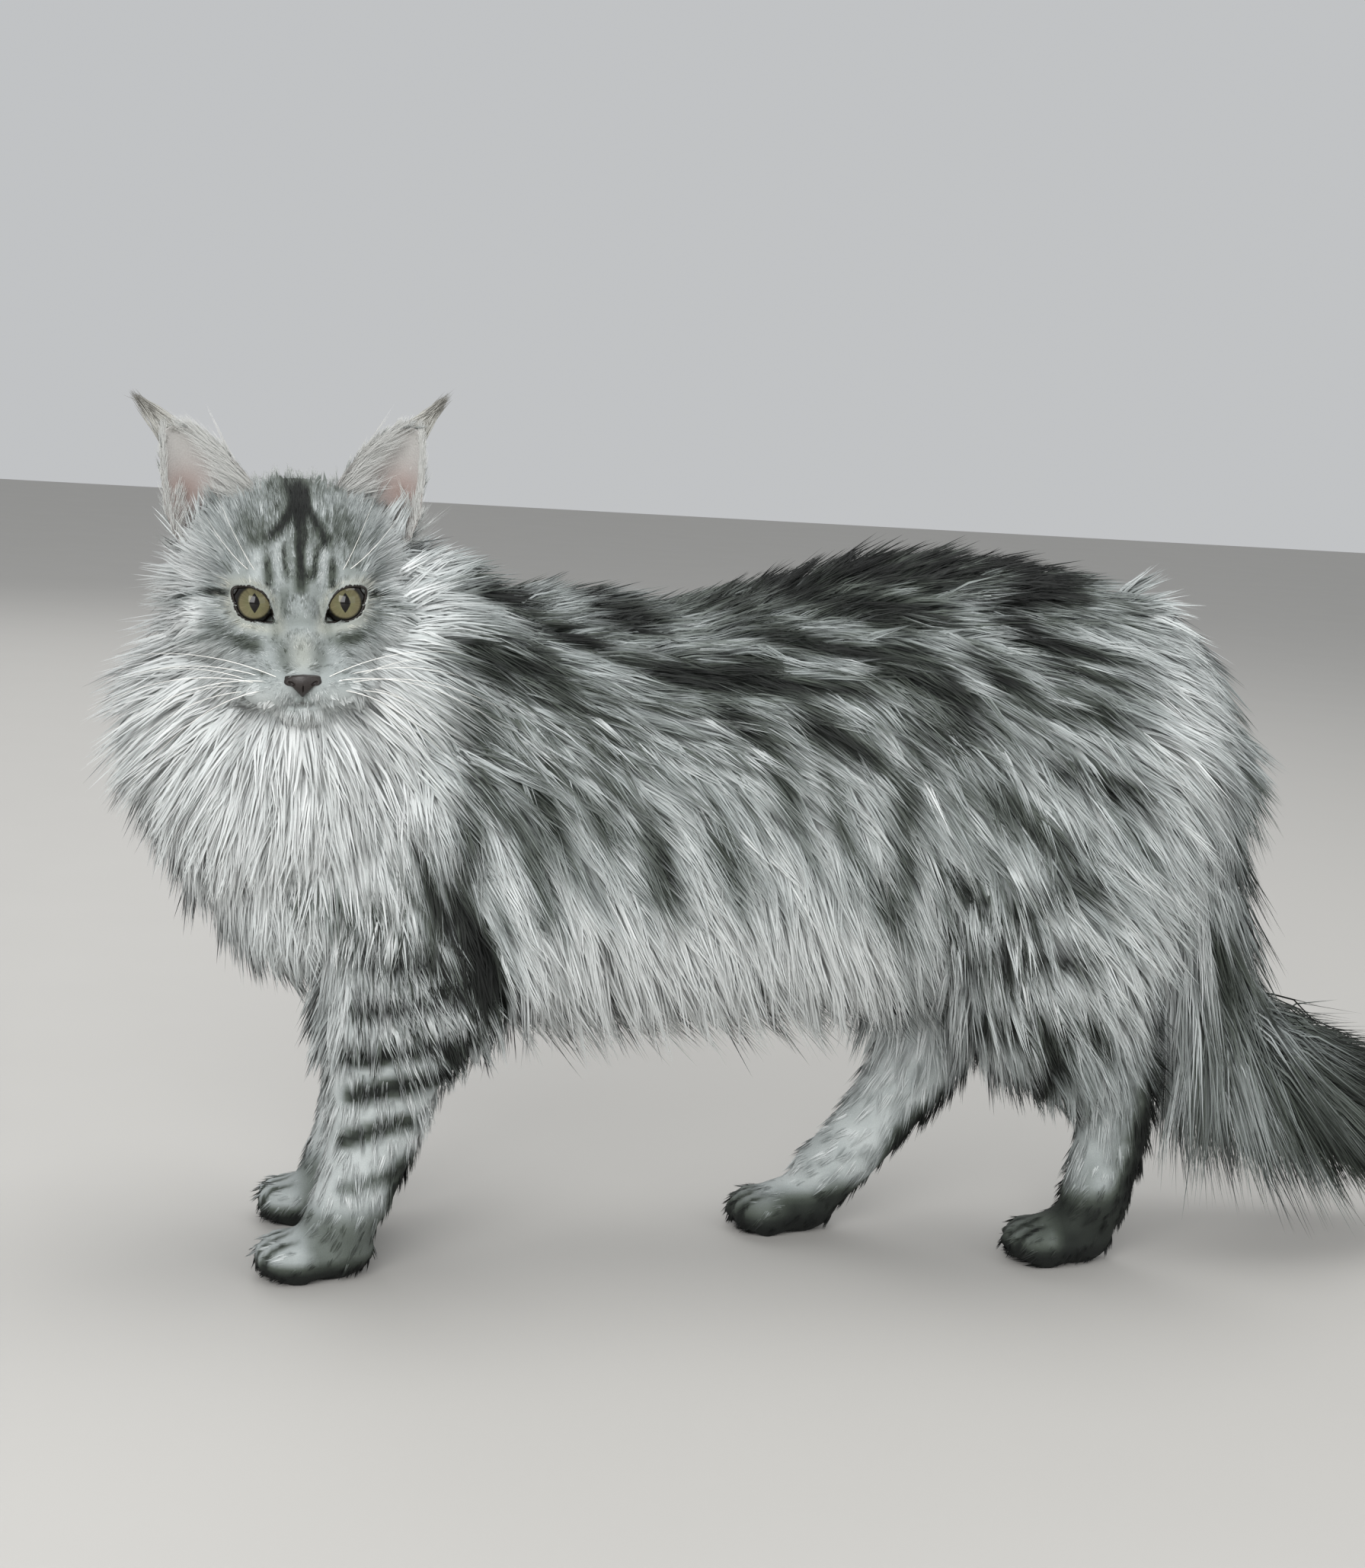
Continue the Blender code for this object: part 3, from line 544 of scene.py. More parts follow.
def join(piece, others):
    """The piece united with closed neighbours into one closed surface."""
    for other in others:
        weld = piece.modifiers.new("weld", "BOOLEAN")
        weld.operation = "UNION"
        weld.solver = "MANIFOLD"
        weld.object = other
        settle(piece)
        bpy.data.objects.remove(other, do_unlink=True)
    return piece


def face_outward(piece):
    """The piece with every shell's faces turned outward."""
    shell = bmesh.new()
    shell.from_mesh(piece.data)
    bmesh.ops.recalc_face_normals(shell, faces=shell.faces)
    shell.to_mesh(piece.data)
    shell.free()
    return piece


join(skin, [face_outward(part) for part in (head, *ear_parts)])

# Colours of the coat, the same for skin and hair. A tone runs from white through silver and
# charcoal to black. The tabby marks are strokes with soft edges: on the body along x and z as
# seen from its side, on the face across and up. Small lattice noise breaks their edges.
TONES = np.array([0.0, 0.2, 0.42, 0.7, 1.0])
TONE_COLOURS = ["#D5D8D7", "#B6BBBA", "#8B9190", "#40463F", "#0B0E0C"]
CREAM = np.array([1.0, 0.965, 0.88])
tone_codes = np.array([srgb(colour) for colour in TONE_COLOURS])


def coat_colour(tone, warmth):
    """Linear colour of a tone: the tone table's sRGB codes, moved toward cream by warmth."""
    codes = np.column_stack([np.interp(tone, TONES, tone_codes[:, k]) for k in range(3)])
    return to_linear(codes * (1 + warmth[:, None] * (CREAM - 1)))


def mixed(start_hex, end_hex, share):
    """Linear colours from one hex colour to another by an array of shares."""
    return linear(start_hex) + share[:, None] * (linear(end_hex) - linear(start_hex))


def lattice_noise(points, size, seed):
    """Noise in 0..1: hashed values at the corners of cells of a size, blended by
    3 t^2 - 2 t^3 along each axis. The hash is the fraction of a large sine."""
    q = np.asarray(points) / size + 17.31 * seed
    cell = np.floor(q)
    t = q - cell
    t = t * t * (3 - 2 * t)
    total = np.zeros(len(q))
    for corner in np.ndindex(2, 2, 2):
        value = np.sin((cell + corner) @ (127.1, 311.7, 74.7)) * 43758.5453
        share = np.prod(np.where(np.array(corner) == 1, t, 1 - t), axis=1)
        total += share * (value - np.floor(value))
    return total


def stroke(places, line, width):
    """1 along a line, with a flat top and a soft edge: exp(-0.7 (d / w)^4)."""
    return np.exp(-0.7 * (from_line(places, line) / width ** 2) ** 2)


def inked(tone, seen, strokes):
    """The tone with strokes drawn over it: each one closes its strength of the way to black."""
    keep = np.ones(len(tone))
    for line, width, strength in strokes:
        keep *= 1 - strength * stroke(seen, line, width)
    return 1 - (1 - tone) * keep


def ramp(values, start, end):
    """0 at start and 1 at end, with a smooth rise: 3 t^2 - 2 t^3."""
    t = np.clip((values - start) / (end - start), 0.0, 1.0)
    return t * t * (3 - 2 * t)


# Body strokes: points of x and z, half width in cm, strength
BODY_STROKES = [
    ([(-14.6, 16.7), (-8.8, 15.7)], 0.5, 0.97), ([(-14.6, 14.0), (-8.3, 14.7)], 0.52, 1.0),
    ([(-14.9, 11.6), (-8.9, 12.6)], 0.52, 1.0), ([(-15.0, 9.6), (-9.8, 10.9)], 0.5, 0.98),
    ([(-15.2, 7.4), (-12.0, 8.5)], 0.42, 0.8), ([(-15.4, 5.0), (-12.6, 5.8)], 0.3, 0.5),
    ([(-8.2, 15.6), (-8.4, 13.4), (-10.0, 11.8)], 0.6, 0.9),
    ([(-9.9, 23.6), (-9.8, 18.6), (-8.4, 15.2)], 0.7, 0.8),
    ([(-12.4, 21.5), (-10.2, 17.9), (-8.3, 15.2)], 0.4, 0.8),
    ([(-13.8, 18.6), (-10.6, 16.6)], 0.35, 0.6), ([(-18.3, 19.4), (-14.2, 18.7)], 0.55, 0.6),
    ([(-15.6, 16.6), (-12.9, 16.1)], 0.5, 0.6), ([(-13.5, 20.6), (-10.7, 17.8)], 0.35, 0.6),
    ([(-10.4, 32.2), (-8.8, 30.2)], 0.8, 0.6), ([(-9.9, 28.6), (-9.4, 25.3)], 0.8, 0.62),
    ([(-7.6, 31.6), (-4.8, 28.6)], 0.7, 0.6), ([(-6.2, 27.2), (-5.3, 23.2)], 0.5, 0.4),
    ([(-6.2, 21.7), (-5.3, 17.9)], 0.45, 0.4), ([(-3.2, 27.5), (-2.4, 21.8)], 0.6, 0.4),
    ([(-0.3, 23.8), (0.4, 18.9)], 0.5, 0.4), ([(2.5, 23.5), (3.9, 18.8)], 0.6, 0.42),
    ([(4.9, 28.1), (5.6, 23.6)], 0.6, 0.42), ([(8.2, 25.9), (8.9, 21.7)], 0.6, 0.38),
    ([(12.2, 28.6), (11.6, 22.9), (11.6, 18.6)], 0.8, 0.62), ([(7.0, 34.8), (12.6, 34.4)], 0.8, 0.9),
    ([(12.0, 31.2), (15.1, 28.8)], 0.75, 0.85), ([(17.0, 34.2), (19.6, 32.0)], 0.7, 0.85),
    ([(6.6, 28.9), (9.5, 27.4)], 0.7, 0.85), ([(14.0, 28.7), (14.8, 27.7)], 0.6, 0.85),
    ([(2.0, 28.7), (3.4, 28.0)], 0.6, 0.8), ([(-0.4, 31.3), (1.4, 30.7)], 0.6, 0.75),
    ([(-3.8, 33.9), (-1.6, 33.4)], 0.7, 0.9), ([(1.8, 34.7), (3.6, 34.3)], 0.5, 0.8),
    ([(2.4, 31.8), (4.6, 31.2)], 0.6, 0.75), ([(15.4, 32.0), (17.4, 31.0)], 0.6, 0.8),
    ([(4.5, 36.6), (13.0, 38.0), (22.5, 37.4)], 1.2, 0.8), ([(9.0, 32.2), (11.0, 31.0)], 0.5, 0.7),
    ([(19.6, 29.6), (22.4, 29.2)], 0.5, 0.55), ([(16.2, 25.2), (18.2, 24.0)], 0.5, 0.6),
    ([(19.4, 26.4), (23.6, 25.2)], 0.55, 0.85), ([(14.3, 21.2), (16.2, 20.0)], 0.5, 0.8),
    ([(17.4, 19.5), (21.8, 20.3)], 0.6, 0.8), ([(15.6, 16.3), (21.7, 17.2)], 0.6, 0.9),
    ([(16.2, 13.0), (22.4, 13.7), (23.4, 12.3)], 0.6, 0.85), ([(18.4, 23.1), (21.8, 22.6)], 0.5, 0.7),
    ([(14.0, 18.4), (16.0, 17.6)], 0.4, 0.7), ([(16.6, 14.9), (20.4, 15.1)], 0.3, 0.6),
    ([(27.4, 11.2), (26.6, 6.4), (26.3, 3.0), (25.9, 0.5)], 1.3, 1.0),
    ([(20.7, 11.6), (20.2, 10.0), (16.9, 4.9), (13.8, 0.4)], 1.0, 1.0),
    ([(-12.1, 5.6), (-12.5, 3.6), (-13.0, 0.5)], 0.85, 0.92),
    ([(33.1, 17.3), (36.2, 13.5)], 0.7, 0.5), ([(35.4, 8.7), (39.9, 4.4)], 0.9, 0.6),
    ([(31.3, 17.2), (30.4, 12.0)], 0.8, 0.45), ([(34.0, 20.0), (38.0, 13.0), (46.0, 8.0)], 1.3, 0.6),
    ([(38.0, 6.6), (44.0, 3.6)], 0.8, 0.5),
]
WHITE_STREAK = [(25.4, 33.4), (28.0, 30.0), (29.2, 25.9), (28.7, 19.7), (28.1, 13.4), (27.6, 9.2)]
TOP_LINE = np.array([(-22, 32), (-12, 34.5), (-6, 35.4), (0, 35), (6, 36.3), (12.5, 38),
                     (18.5, 37.7), (24, 37.2), (28, 35.2), (31, 32), (50, 20)])


def with_feet(tone, points):
    """The tone with charcoal feet drawn in, paler on the toes, with painted shade between them and along
    the floor.
    """
    x, y, z = points.T
    toes = np.zeros(len(points))
    painted_toe_gap_shade = np.zeros(len(points))
    for (paw_x, paw_y), (ahead_x, ahead_y) in PAWS:
        reach = (x - paw_x) * ahead_x + (y - paw_y) * ahead_y
        beside = np.abs((y - paw_y) * ahead_x - (x - paw_x) * ahead_y)
        on_paw = (np.abs(reach) < 4.5) & (beside < 3.0)
        toes = np.maximum(toes, on_paw * ramp(reach, 0.2, 1.4) * ramp(z, 0.5, 1.5))
        gap = np.minimum(beside, np.abs(beside - 1.0))
        painted_toe_gap_shade = np.maximum(painted_toe_gap_shade, on_paw * (1 - ramp(gap, 0.1, 0.3)) * ramp(reach, 1.0, 1.8))
    fore_foot = (1 - ramp(z, 2.8, 4.4)) * (1 - ramp(x, -10, -8))
    # Painted shade: darker between the toes and in the lowest centimetre, along the floor
    painted_floor_shade = 0.5 * (1 - ramp(z, 0.5, 1.3))
    tone = tone + fore_foot * (0.56 - 0.3 * toes + 0.45 * painted_toe_gap_shade + painted_floor_shade - tone)
    ankle = 1.4 + 1.0 * ramp(x, 14, 18) + 0.6 * ramp(x, 10.5, 12)
    hind_foot = (1 - ramp(z - ankle, 0.0, 1.6)) * ramp(x, 4, 6) * (1 - ramp(x, 29, 30))
    return tone + hind_foot * (0.9 - 0.3 * toes + 0.3 * painted_toe_gap_shade + painted_floor_shade - tone)


def body_tone(points):
    """Tone on trunk, legs and tail: a grey saddle that fades downward, white chest, belly and
    back of the thighs, charcoal feet, then the strokes. Every ramp runs between two places in
    cm, along x, up z or in depth below the back. The marks lean inward through the coat of the
    left side, so that outer and inner hairs show one edge."""
    x, y, z = points.T
    inward = np.clip(y + 7.0, -3.0, 3.0) * (1 - ramp(y, -2.0, 1.0))
    seen_x, seen_z = x - 0.22 * inward, z + 0.15 * inward
    flat = np.column_stack([seen_x, 0.3 * y, seen_z])
    # Where each point reads the strokes: its own place, moved by noise
    finer = lattice_noise(flat, 0.6, 2)
    wander = np.column_stack([lattice_noise(flat, 2.2, 3), lattice_noise(flat, 2.2, 4)]) - 0.5
    low_legs = (1 - ramp(z, 15, 18))[:, None]
    seen = np.column_stack([seen_x, seen_z]) + (1.2 - 0.7 * low_legs) * wander
    seen += (finer - 0.5)[:, None] * (0.5, 0.3)
    seen[:, 0] += np.where(y > 0, 0.9 * np.sin(0.55 * z + 0.3 * x), 0.0)
    # The saddle and the flames of the flanks, noise drawn out along the lie of the hair
    depth = np.interp(x, *TOP_LINE.T) - z
    lean = np.radians(20 + 50 * ramp(depth, 3, 11) - 25 * ramp(x, 12, 17))
    along = seen_x * np.cos(lean) - seen_z * np.sin(lean)
    across = seen_x * np.sin(lean) + seen_z * np.cos(lean)
    break_up = lattice_noise(np.column_stack([along / 3.2, across / 1.1, y / 6]), 1.0, 1)
    flames = lattice_noise(np.column_stack([along / 4.6, across / 0.95, y / 6]), 1.0, 7)
    saddle = np.exp(-(np.maximum(depth, 0) / 7.4) ** 2) * ramp(x, -13, -8) * (1 - ramp(x, 23, 27))
    tone = 0.02 + 0.13 * np.maximum(ramp(x, -13.5, -10), 1 - ramp(z, 14, 18))
    tone += saddle * (0.13 + 0.85 * ramp(break_up, 0.42, 0.74))
    tone += 0.3 * np.exp(-np.square(np.maximum(depth, 0) / 2.4)) * ramp(x, -2, 4) * (1 - ramp(x, 21, 24))
    flank = ramp(depth, 3, 7) * ramp(x, -11, -8) * (1 - ramp(x, 11, 14)) * (1 - ramp(depth, 16, 20))
    tone += flank * (0.3 * ramp(flames, 0.5, 0.8) - 0.06)
    tone += 0.12 * (1 - ramp(depth, 12, 18)) * ramp(x, -12, -9) * (1 - ramp(x, 22, 25))
    tone *= 1 - 0.85 * (1 - ramp(z, 16.5, 20.5)) * ramp(x, -8, -6) * (1 - ramp(x, 12, 14))
    # Thighs, forelegs, tail, shanks, the hump behind the neck and the white of the breeches
    thigh = ramp(x, 11.5, 14) * (1 - ramp(x, 23.5, 26.5)) * (1 - ramp(z, 30, 33)) * ramp(z, 10, 13)
    tone = np.maximum(tone, (0.1 + 0.14 * ramp(z, 16, 22) + 0.24 * ramp(flames, 0.45, 0.8)) * thigh)
    foreleg = (1 - ramp(x, -8, -6)) * (1 - ramp(z, 17, 20)) * ramp(x, -15.6, -12.4)
    tone = np.maximum(tone, 0.15 * foreleg)
    tail = ramp(x, 28.2, 31)
    tone = np.maximum(tone, tail * (0.2 + 0.5 * break_up + 0.25 * ramp(x, 33, 46)))
    shank = ramp(x, 8, 10.5) * (1 - ramp(z, 11, 13)) * (1 - ramp(x, 28.2, 29.5))
    tone = np.maximum(tone, shank * (0.16 + 0.12 * ramp(x, 20, 23) + 0.14 * finer))
    hump = ramp(x, -14.5, -12) * (1 - ramp(x, -7, -4)) * ramp(z, 29, 31)
    tone = np.maximum(tone, hump * (0.2 + 0.3 * break_up))
    streak = stroke(seen, WHITE_STREAK, 1.7)
    tone += 0.85 * streak * (0.19 - tone)
    tone = inked(tone, seen, BODY_STROKES)
    tone = with_feet(tone, points)
    chest_shade = 0.05 * lattice_noise(points, 2.6, 6) * (1 - ramp(x, -13, -9)) * (1 - tail)
    return np.clip(tone + chest_shade + 0.16 * (finer - 0.5) * (0.3 + tone), 0.0, 1.0)


# Face strokes: points across and up, half width, strength
FACE_STROKES = [
    ([(-2.4, 3.9), (-1.9, 3.2)], 0.5, 0.3), ([(2.2, 3.7), (2.6, 3.1)], 0.5, 0.28),
    ([(-0.4, 6.6), (-0.3, 5.7)], 0.9, 0.35), ([(0.03, 5.2), (0.08, 4.0)], 0.4, 0.97),
    ([(-0.1, 4.5), (-0.6, 3.7), (-1.25, 3.05)], 0.24, 0.95), ([(0.42, 5.2), (0.45, 4.4), (0.9, 3.5),
     (1.35, 2.9)], 0.19, 0.9), ([(0.0, 4.0), (0.0, 3.0), (0.08, 0.6)], 0.19, 0.98),
    ([(0.15, 4.0), (0.36, 3.2), (0.14, 2.2)], 0.12, 0.9), ([(-1.42, 2.0), (-1.38, 0.9)], 0.17, 0.95),
    ([(-0.72, 2.5), (-0.6, 1.2)], 0.12, 0.9), ([(1.54, 1.8), (1.5, 0.8)], 0.16, 0.95),
    ([(1.15, 2.7), (0.74, 2.2), (0.7, 1.2), (0.25, 1.12)], 0.13, 0.92),
    ([(-4.2, 0.42), (-3.45, 0.48)], 0.15, 0.95), ([(3.35, 0.42), (3.95, 0.32)], 0.15, 0.95),
    ([(-6.0, -0.3), (-4.9, 0.35), (-4.1, 0.5)], 0.16, 0.4), ([(4.0, 0.3), (4.8, -0.3), (5.3, -1.0)],
     0.16, 0.4), ([(-1.1, -0.9), (-1.2, -1.7)], 0.13, 0.32), ([(1.22, -0.95), (1.4, -1.75)], 0.13, 0.35),
    ([(-2.8, -1.75), (-2.1, -1.95)], 0.32, 0.6), ([(1.9, -1.75), (2.8, -1.55)], 0.3, 0.6),
    ([(-4.1, -1.0), (-3.3, -1.7)], 0.35, 0.3), ([(3.2, -1.2), (3.9, -0.6)], 0.35, 0.28),
    ([(-5.6, -1.9), (-4.3, -1.7)], 0.22, 0.3), ([(-4.2, -2.8), (-3.4, -3.3)], 0.2, 0.2),
    ([(-0.85, -2.0), (-0.75, -2.9)], 0.22, 0.2), ([(0.85, -2.0), (0.85, -2.9)], 0.22, 0.1),
    ([(-1.95, -3.1), (-1.6, -3.2)], 0.11, 0.4), ([(-1.9, -3.55), (-1.4, -3.75)], 0.08, 0.35),
    ([(1.7, -3.1), (2.0, -3.2)], 0.08, 0.18), ([(-0.7, 0.55), (-0.72, -0.3)], 0.16, 0.3),
    ([(0.0, -4.05), (0.0, -4.45)], 0.06, 0.7), ([(-0.36, -4.62), (0.0, -4.44), (0.36, -4.62)], 0.1, 0.9),
    # Painted shade: a faint line under the lower lip and a grey line under the lower edge of the cat's
    # right whisker pad
    ([(-0.9, -4.72), (0.9, -4.72)], 0.12, 0.25), ([(-3.2, -3.4), (-2.8, -4.1), (-2.0, -4.7)], 0.14, 0.2),
]
WHITE_STROKES = [
    ([(-1.95, 2.2), (-1.92, 1.15)], 0.28, 1.0), ([(-1.05, 2.6), (-0.98, 1.0)], 0.25, 1.0),
    ([(1.12, 2.2), (1.12, 1.0)], 0.23, 1.0), ([(0.42, 2.6), (0.42, 1.6)], 0.15, 0.7),
    ([(-0.3, 2.4), (-0.28, 1.4)], 0.16, 0.35), ([(1.95, 2.2), (1.9, 1.2)], 0.2, 0.5),
]


def head_tone(q):
    """Tone and warmth on the head: grey crown and forehead, white muzzle, cheeks and chin,
    pale cream rims round the eyes, then the dark and the white strokes. Every ramp runs between
    two places in cm across, up or forward."""
    wander = np.column_stack([lattice_noise(q, 0.7, 11), lattice_noise(q, 0.7, 12)]) - 0.5
    seen = q[:, :2] + 0.1 * wander
    a, b, c = q.T
    side = np.abs(a)
    mottle = lattice_noise(q, 0.9, 13)
    tone = 0.35 * ramp(b, -0.2, 1.6) * (1 - ramp(side, 1.9, 3.6))
    tone += 0.12 * ramp(b, 3.6, 5.6) * (1 - ramp(side, 2.0, 3.4))
    tone = np.maximum(tone, 0.26 * ramp(b, -3.0, -1.0) * (1 - ramp(side, 3.7, 5.0)))
    bridge = (0.1 + 0.14 * ramp(side, 0.3, 0.8)) * (1 - ramp(side, 1.0, 1.6)) * ramp(b, -3.3, -2.6)
    below_brow = ramp(b, -1.7, -0.8)
    tone = np.maximum(tone * (below_brow + (1 - below_brow) * ramp(side, 0.5, 1.2)), bridge)
    tone = tone * (0.8 + 0.4 * mottle) + 0.05 * mottle + 0.02
    tone += 0.25 * ramp(-c, 6.8, 8.8) * ramp(b, 1.0, 3.0)
    rim = np.exp(-((opening_share(a, b) - 1.25) / 0.21) ** 2)
    tone *= 1 - 0.85 * rim
    tone = inked(tone, seen, FACE_STROKES)
    for line, width, strength in WHITE_STROKES:
        tone *= 1 - strength * stroke(seen, line, width)
    # Painted shade: the short-haired face is painted greyer, most on the whisker pads, to match the shade
    # between the long hairs
    short = 1 - ramp(np.linalg.norm(np.column_stack([a / 4.8, (b + 0.3) / 5.2]), axis=1), 0.75, 1.1)
    pads = np.exp(-((side - 1.6) / 1.3) ** 2 - ((b + 3.8) / 1.0) ** 2)
    painted_face_shade = 0.26 + 0.14 * pads - 0.14 * ramp(side, 2.2, 3.6)
    tone += painted_face_shade * short * np.square(1 - np.clip(tone, 0.0, 1.0)) + 0.1 * ramp(a, 4.5, 6.0)
    cream_nose = np.exp(-(side / 0.6) ** 2) * ramp(b, -3.1, -2.6) * (1 - ramp(b, -1.8, -1.0))
    warmth = np.clip(0.6 * rim + 0.4 * cream_nose, 0.0, 1.0)
    return np.clip(tone, 0.0, 1.0), warmth


def to_head(points):
    """Across, up and forward on the head of points given in body centimetres."""
    return (np.asarray(points, float) - EYES_MIDPOINT) @ HEAD_AXES.T


def tones(points):
    """Tone and warmth anywhere: the head's inside an egg round the skull, the body's outside."""
    q = to_head(points)
    egg = np.linalg.norm((q - (0.3, 0.4, -3.2)) / (7.6, 7.4, 7.4), axis=1)
    on_head = 1 - ramp(egg, 0.85, 1.08)
    tone, warmth = np.zeros(len(q)), np.zeros(len(q))
    body = on_head < 0.999
    tone[body] = body_tone(points[body])
    head_tones, head_warmth = head_tone(q[on_head > 0.001])
    share = on_head[on_head > 0.001]
    tone[on_head > 0.001] = tone[on_head > 0.001] * (1 - share) + head_tones * share
    warmth[on_head > 0.001] = head_warmth * share
    return tone, warmth


def vertex_vectors(mesh, which):
    """The mesh's vertex places, co, or vertex normals, normal, as an array."""
    flat = np.empty(3 * len(mesh.vertices), np.float32)
    mesh.vertices.foreach_get(which, flat)
    return flat.reshape(-1, 3).astype(float)


def paint(mesh, colours):
    """Store linear colours on the mesh's vertices as the attribute coat."""
    layer = mesh.color_attributes.new("coat", "FLOAT_COLOR", "POINT")
    full = np.ones((len(colours), 4), np.float32)
    full[:, :3] = colours
    layer.data.foreach_set("color", full.ravel())


# The skin wears the coat's colours under the hair; inside the ears it is bare and pinkish grey, with
# painted shade in the hollow at each ear's root
skin_points = (vertex_vectors(skin.data, "co") - SHIFT) / CM
skin_normals = vertex_vectors(skin.data, "normal")
skin_side, skin_up, skin_ahead = to_head(skin_points).T
skin_side = np.abs(skin_side)
soft_edges = 0.2 * np.array([ACROSS, -ACROSS, UP, -UP])
skin_tone, skin_warmth = np.mean([tones(skin_points + offset) for offset in soft_edges], axis=0)
skin_colours = coat_colour(np.clip(skin_tone * 0.86 + 0.1, 0, 1), skin_warmth)
in_ear = ramp(skin_normals @ FORWARD, 0.0, 0.35) * ramp(skin_up + 0.9 * skin_side, 6.0, 6.6)
in_ear *= (1 - ramp(skin_ahead, -4.2, -3.4)) * ramp(skin_ahead, -8.5, -7.5)
in_ear *= ramp(skin_up, 1.2, 2.2) * (1 - ramp(skin_side, 6.6, 7.2))
ear_pink = np.exp(-(np.hypot(skin_side - 5.2, skin_up - 5.0) / 1.2) ** 2)
ear_skin = mixed("#A9A7A4", "#94837D", ear_pink)
# Painted shade: the hollow at the root of the ear's opening is painted dark brown
ear_hollow_painted_shade = np.exp(-(np.hypot(skin_side - 4.9, skin_up - 3.2) / 1.0) ** 2)
ear_skin += 0.8 * ear_hollow_painted_shade[:, None] * (linear("#4A3836") - ear_skin)
skin_colours += in_ear[:, None] * (ear_skin - skin_colours)
in_mouth = near_line(np.column_stack([skin_side, skin_up]), MOUTH, 0.06)
in_mouth *= (1 - ramp(skin_side, 0.25, 0.65)) * (skin_ahead > 0.2) * (skin_up > -5.0)
skin_colours += 0.85 * in_mouth[:, None] * (linear("#2A2422") - skin_colours)
paint(skin.data, skin_colours)
skin.data.shade_smooth()


def hair_material(name, roughness, grain_strength):
    """Hair: the coat attribute's colour, mottled by a noise that is also a bump and breaks the
    gloss as single hairs do. Real hairs, 0.05 mm thick, are too fine to show, so it is drawn
    0.7 mm wide."""
    material = new_material(name)
    colour = add_node(material, "ShaderNodeAttribute", attribute_name="coat")
    place = add_node(material, "ShaderNodeTexCoord")
    grain = add_node(material, "ShaderNodeTexNoise", [("Vector", place.outputs["Object"])],
                     Scale=1.4 * PER_MM, Detail=2.0)
    shade = add_node(material, "ShaderNodeMapRange", [("Value", grain.outputs["Fac"])],
                     To_Min=0.88, To_Max=1.1)
    tint = add_node(material, "ShaderNodeVectorMath",
                    [(0, colour.outputs["Color"]), ("Scale", shade.outputs["Result"])],
                    operation="SCALE")
    bump = add_node(material, "ShaderNodeBump", [("Height", grain.outputs["Fac"])],
                    Strength=grain_strength, Distance=0.0004)
    hair = add_node(material, "ShaderNodeBsdfPrincipled",
                    [("Base Color", tint.outputs["Vector"]), ("Normal", bump.outputs["Normal"])],
                    Roughness=roughness, Specular_IOR_Level=0.3)
    add_node(material, "ShaderNodeOutputMaterial", [("Surface", hair.outputs["BSDF"])])
    return material


# Underfur: short, dense and dull
skin.data.materials.clear()
skin.data.materials.append(hair_material("short_underfur", roughness=0.85, grain_strength=0.6))
flesh = ["head", "ear_left", "ear_right", "neck", "shoulders", "abdomen", "rump", "tail_base",
         "tail_middle", "tail_end"]
flesh += [part + side for side in ("_left", "_right")
          for part in ("elbow", "forearm", "forepaw", "thigh", "hock", "hindpaw")]
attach(skin, "root")
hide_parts(*flesh)

# Eyes: glass museum eyes. Yellow-green irises with fine fibres and a dark outer ring, upright
# slit pupils, and a wet clear coat over a cornea that bulges a little.
IRIS_RADIUS, PUPIL_HALF_WIDTH, PUPIL_HALF_HEIGHT, CORNEA_BULGE = 0.76, 0.24, 0.47, 0.05


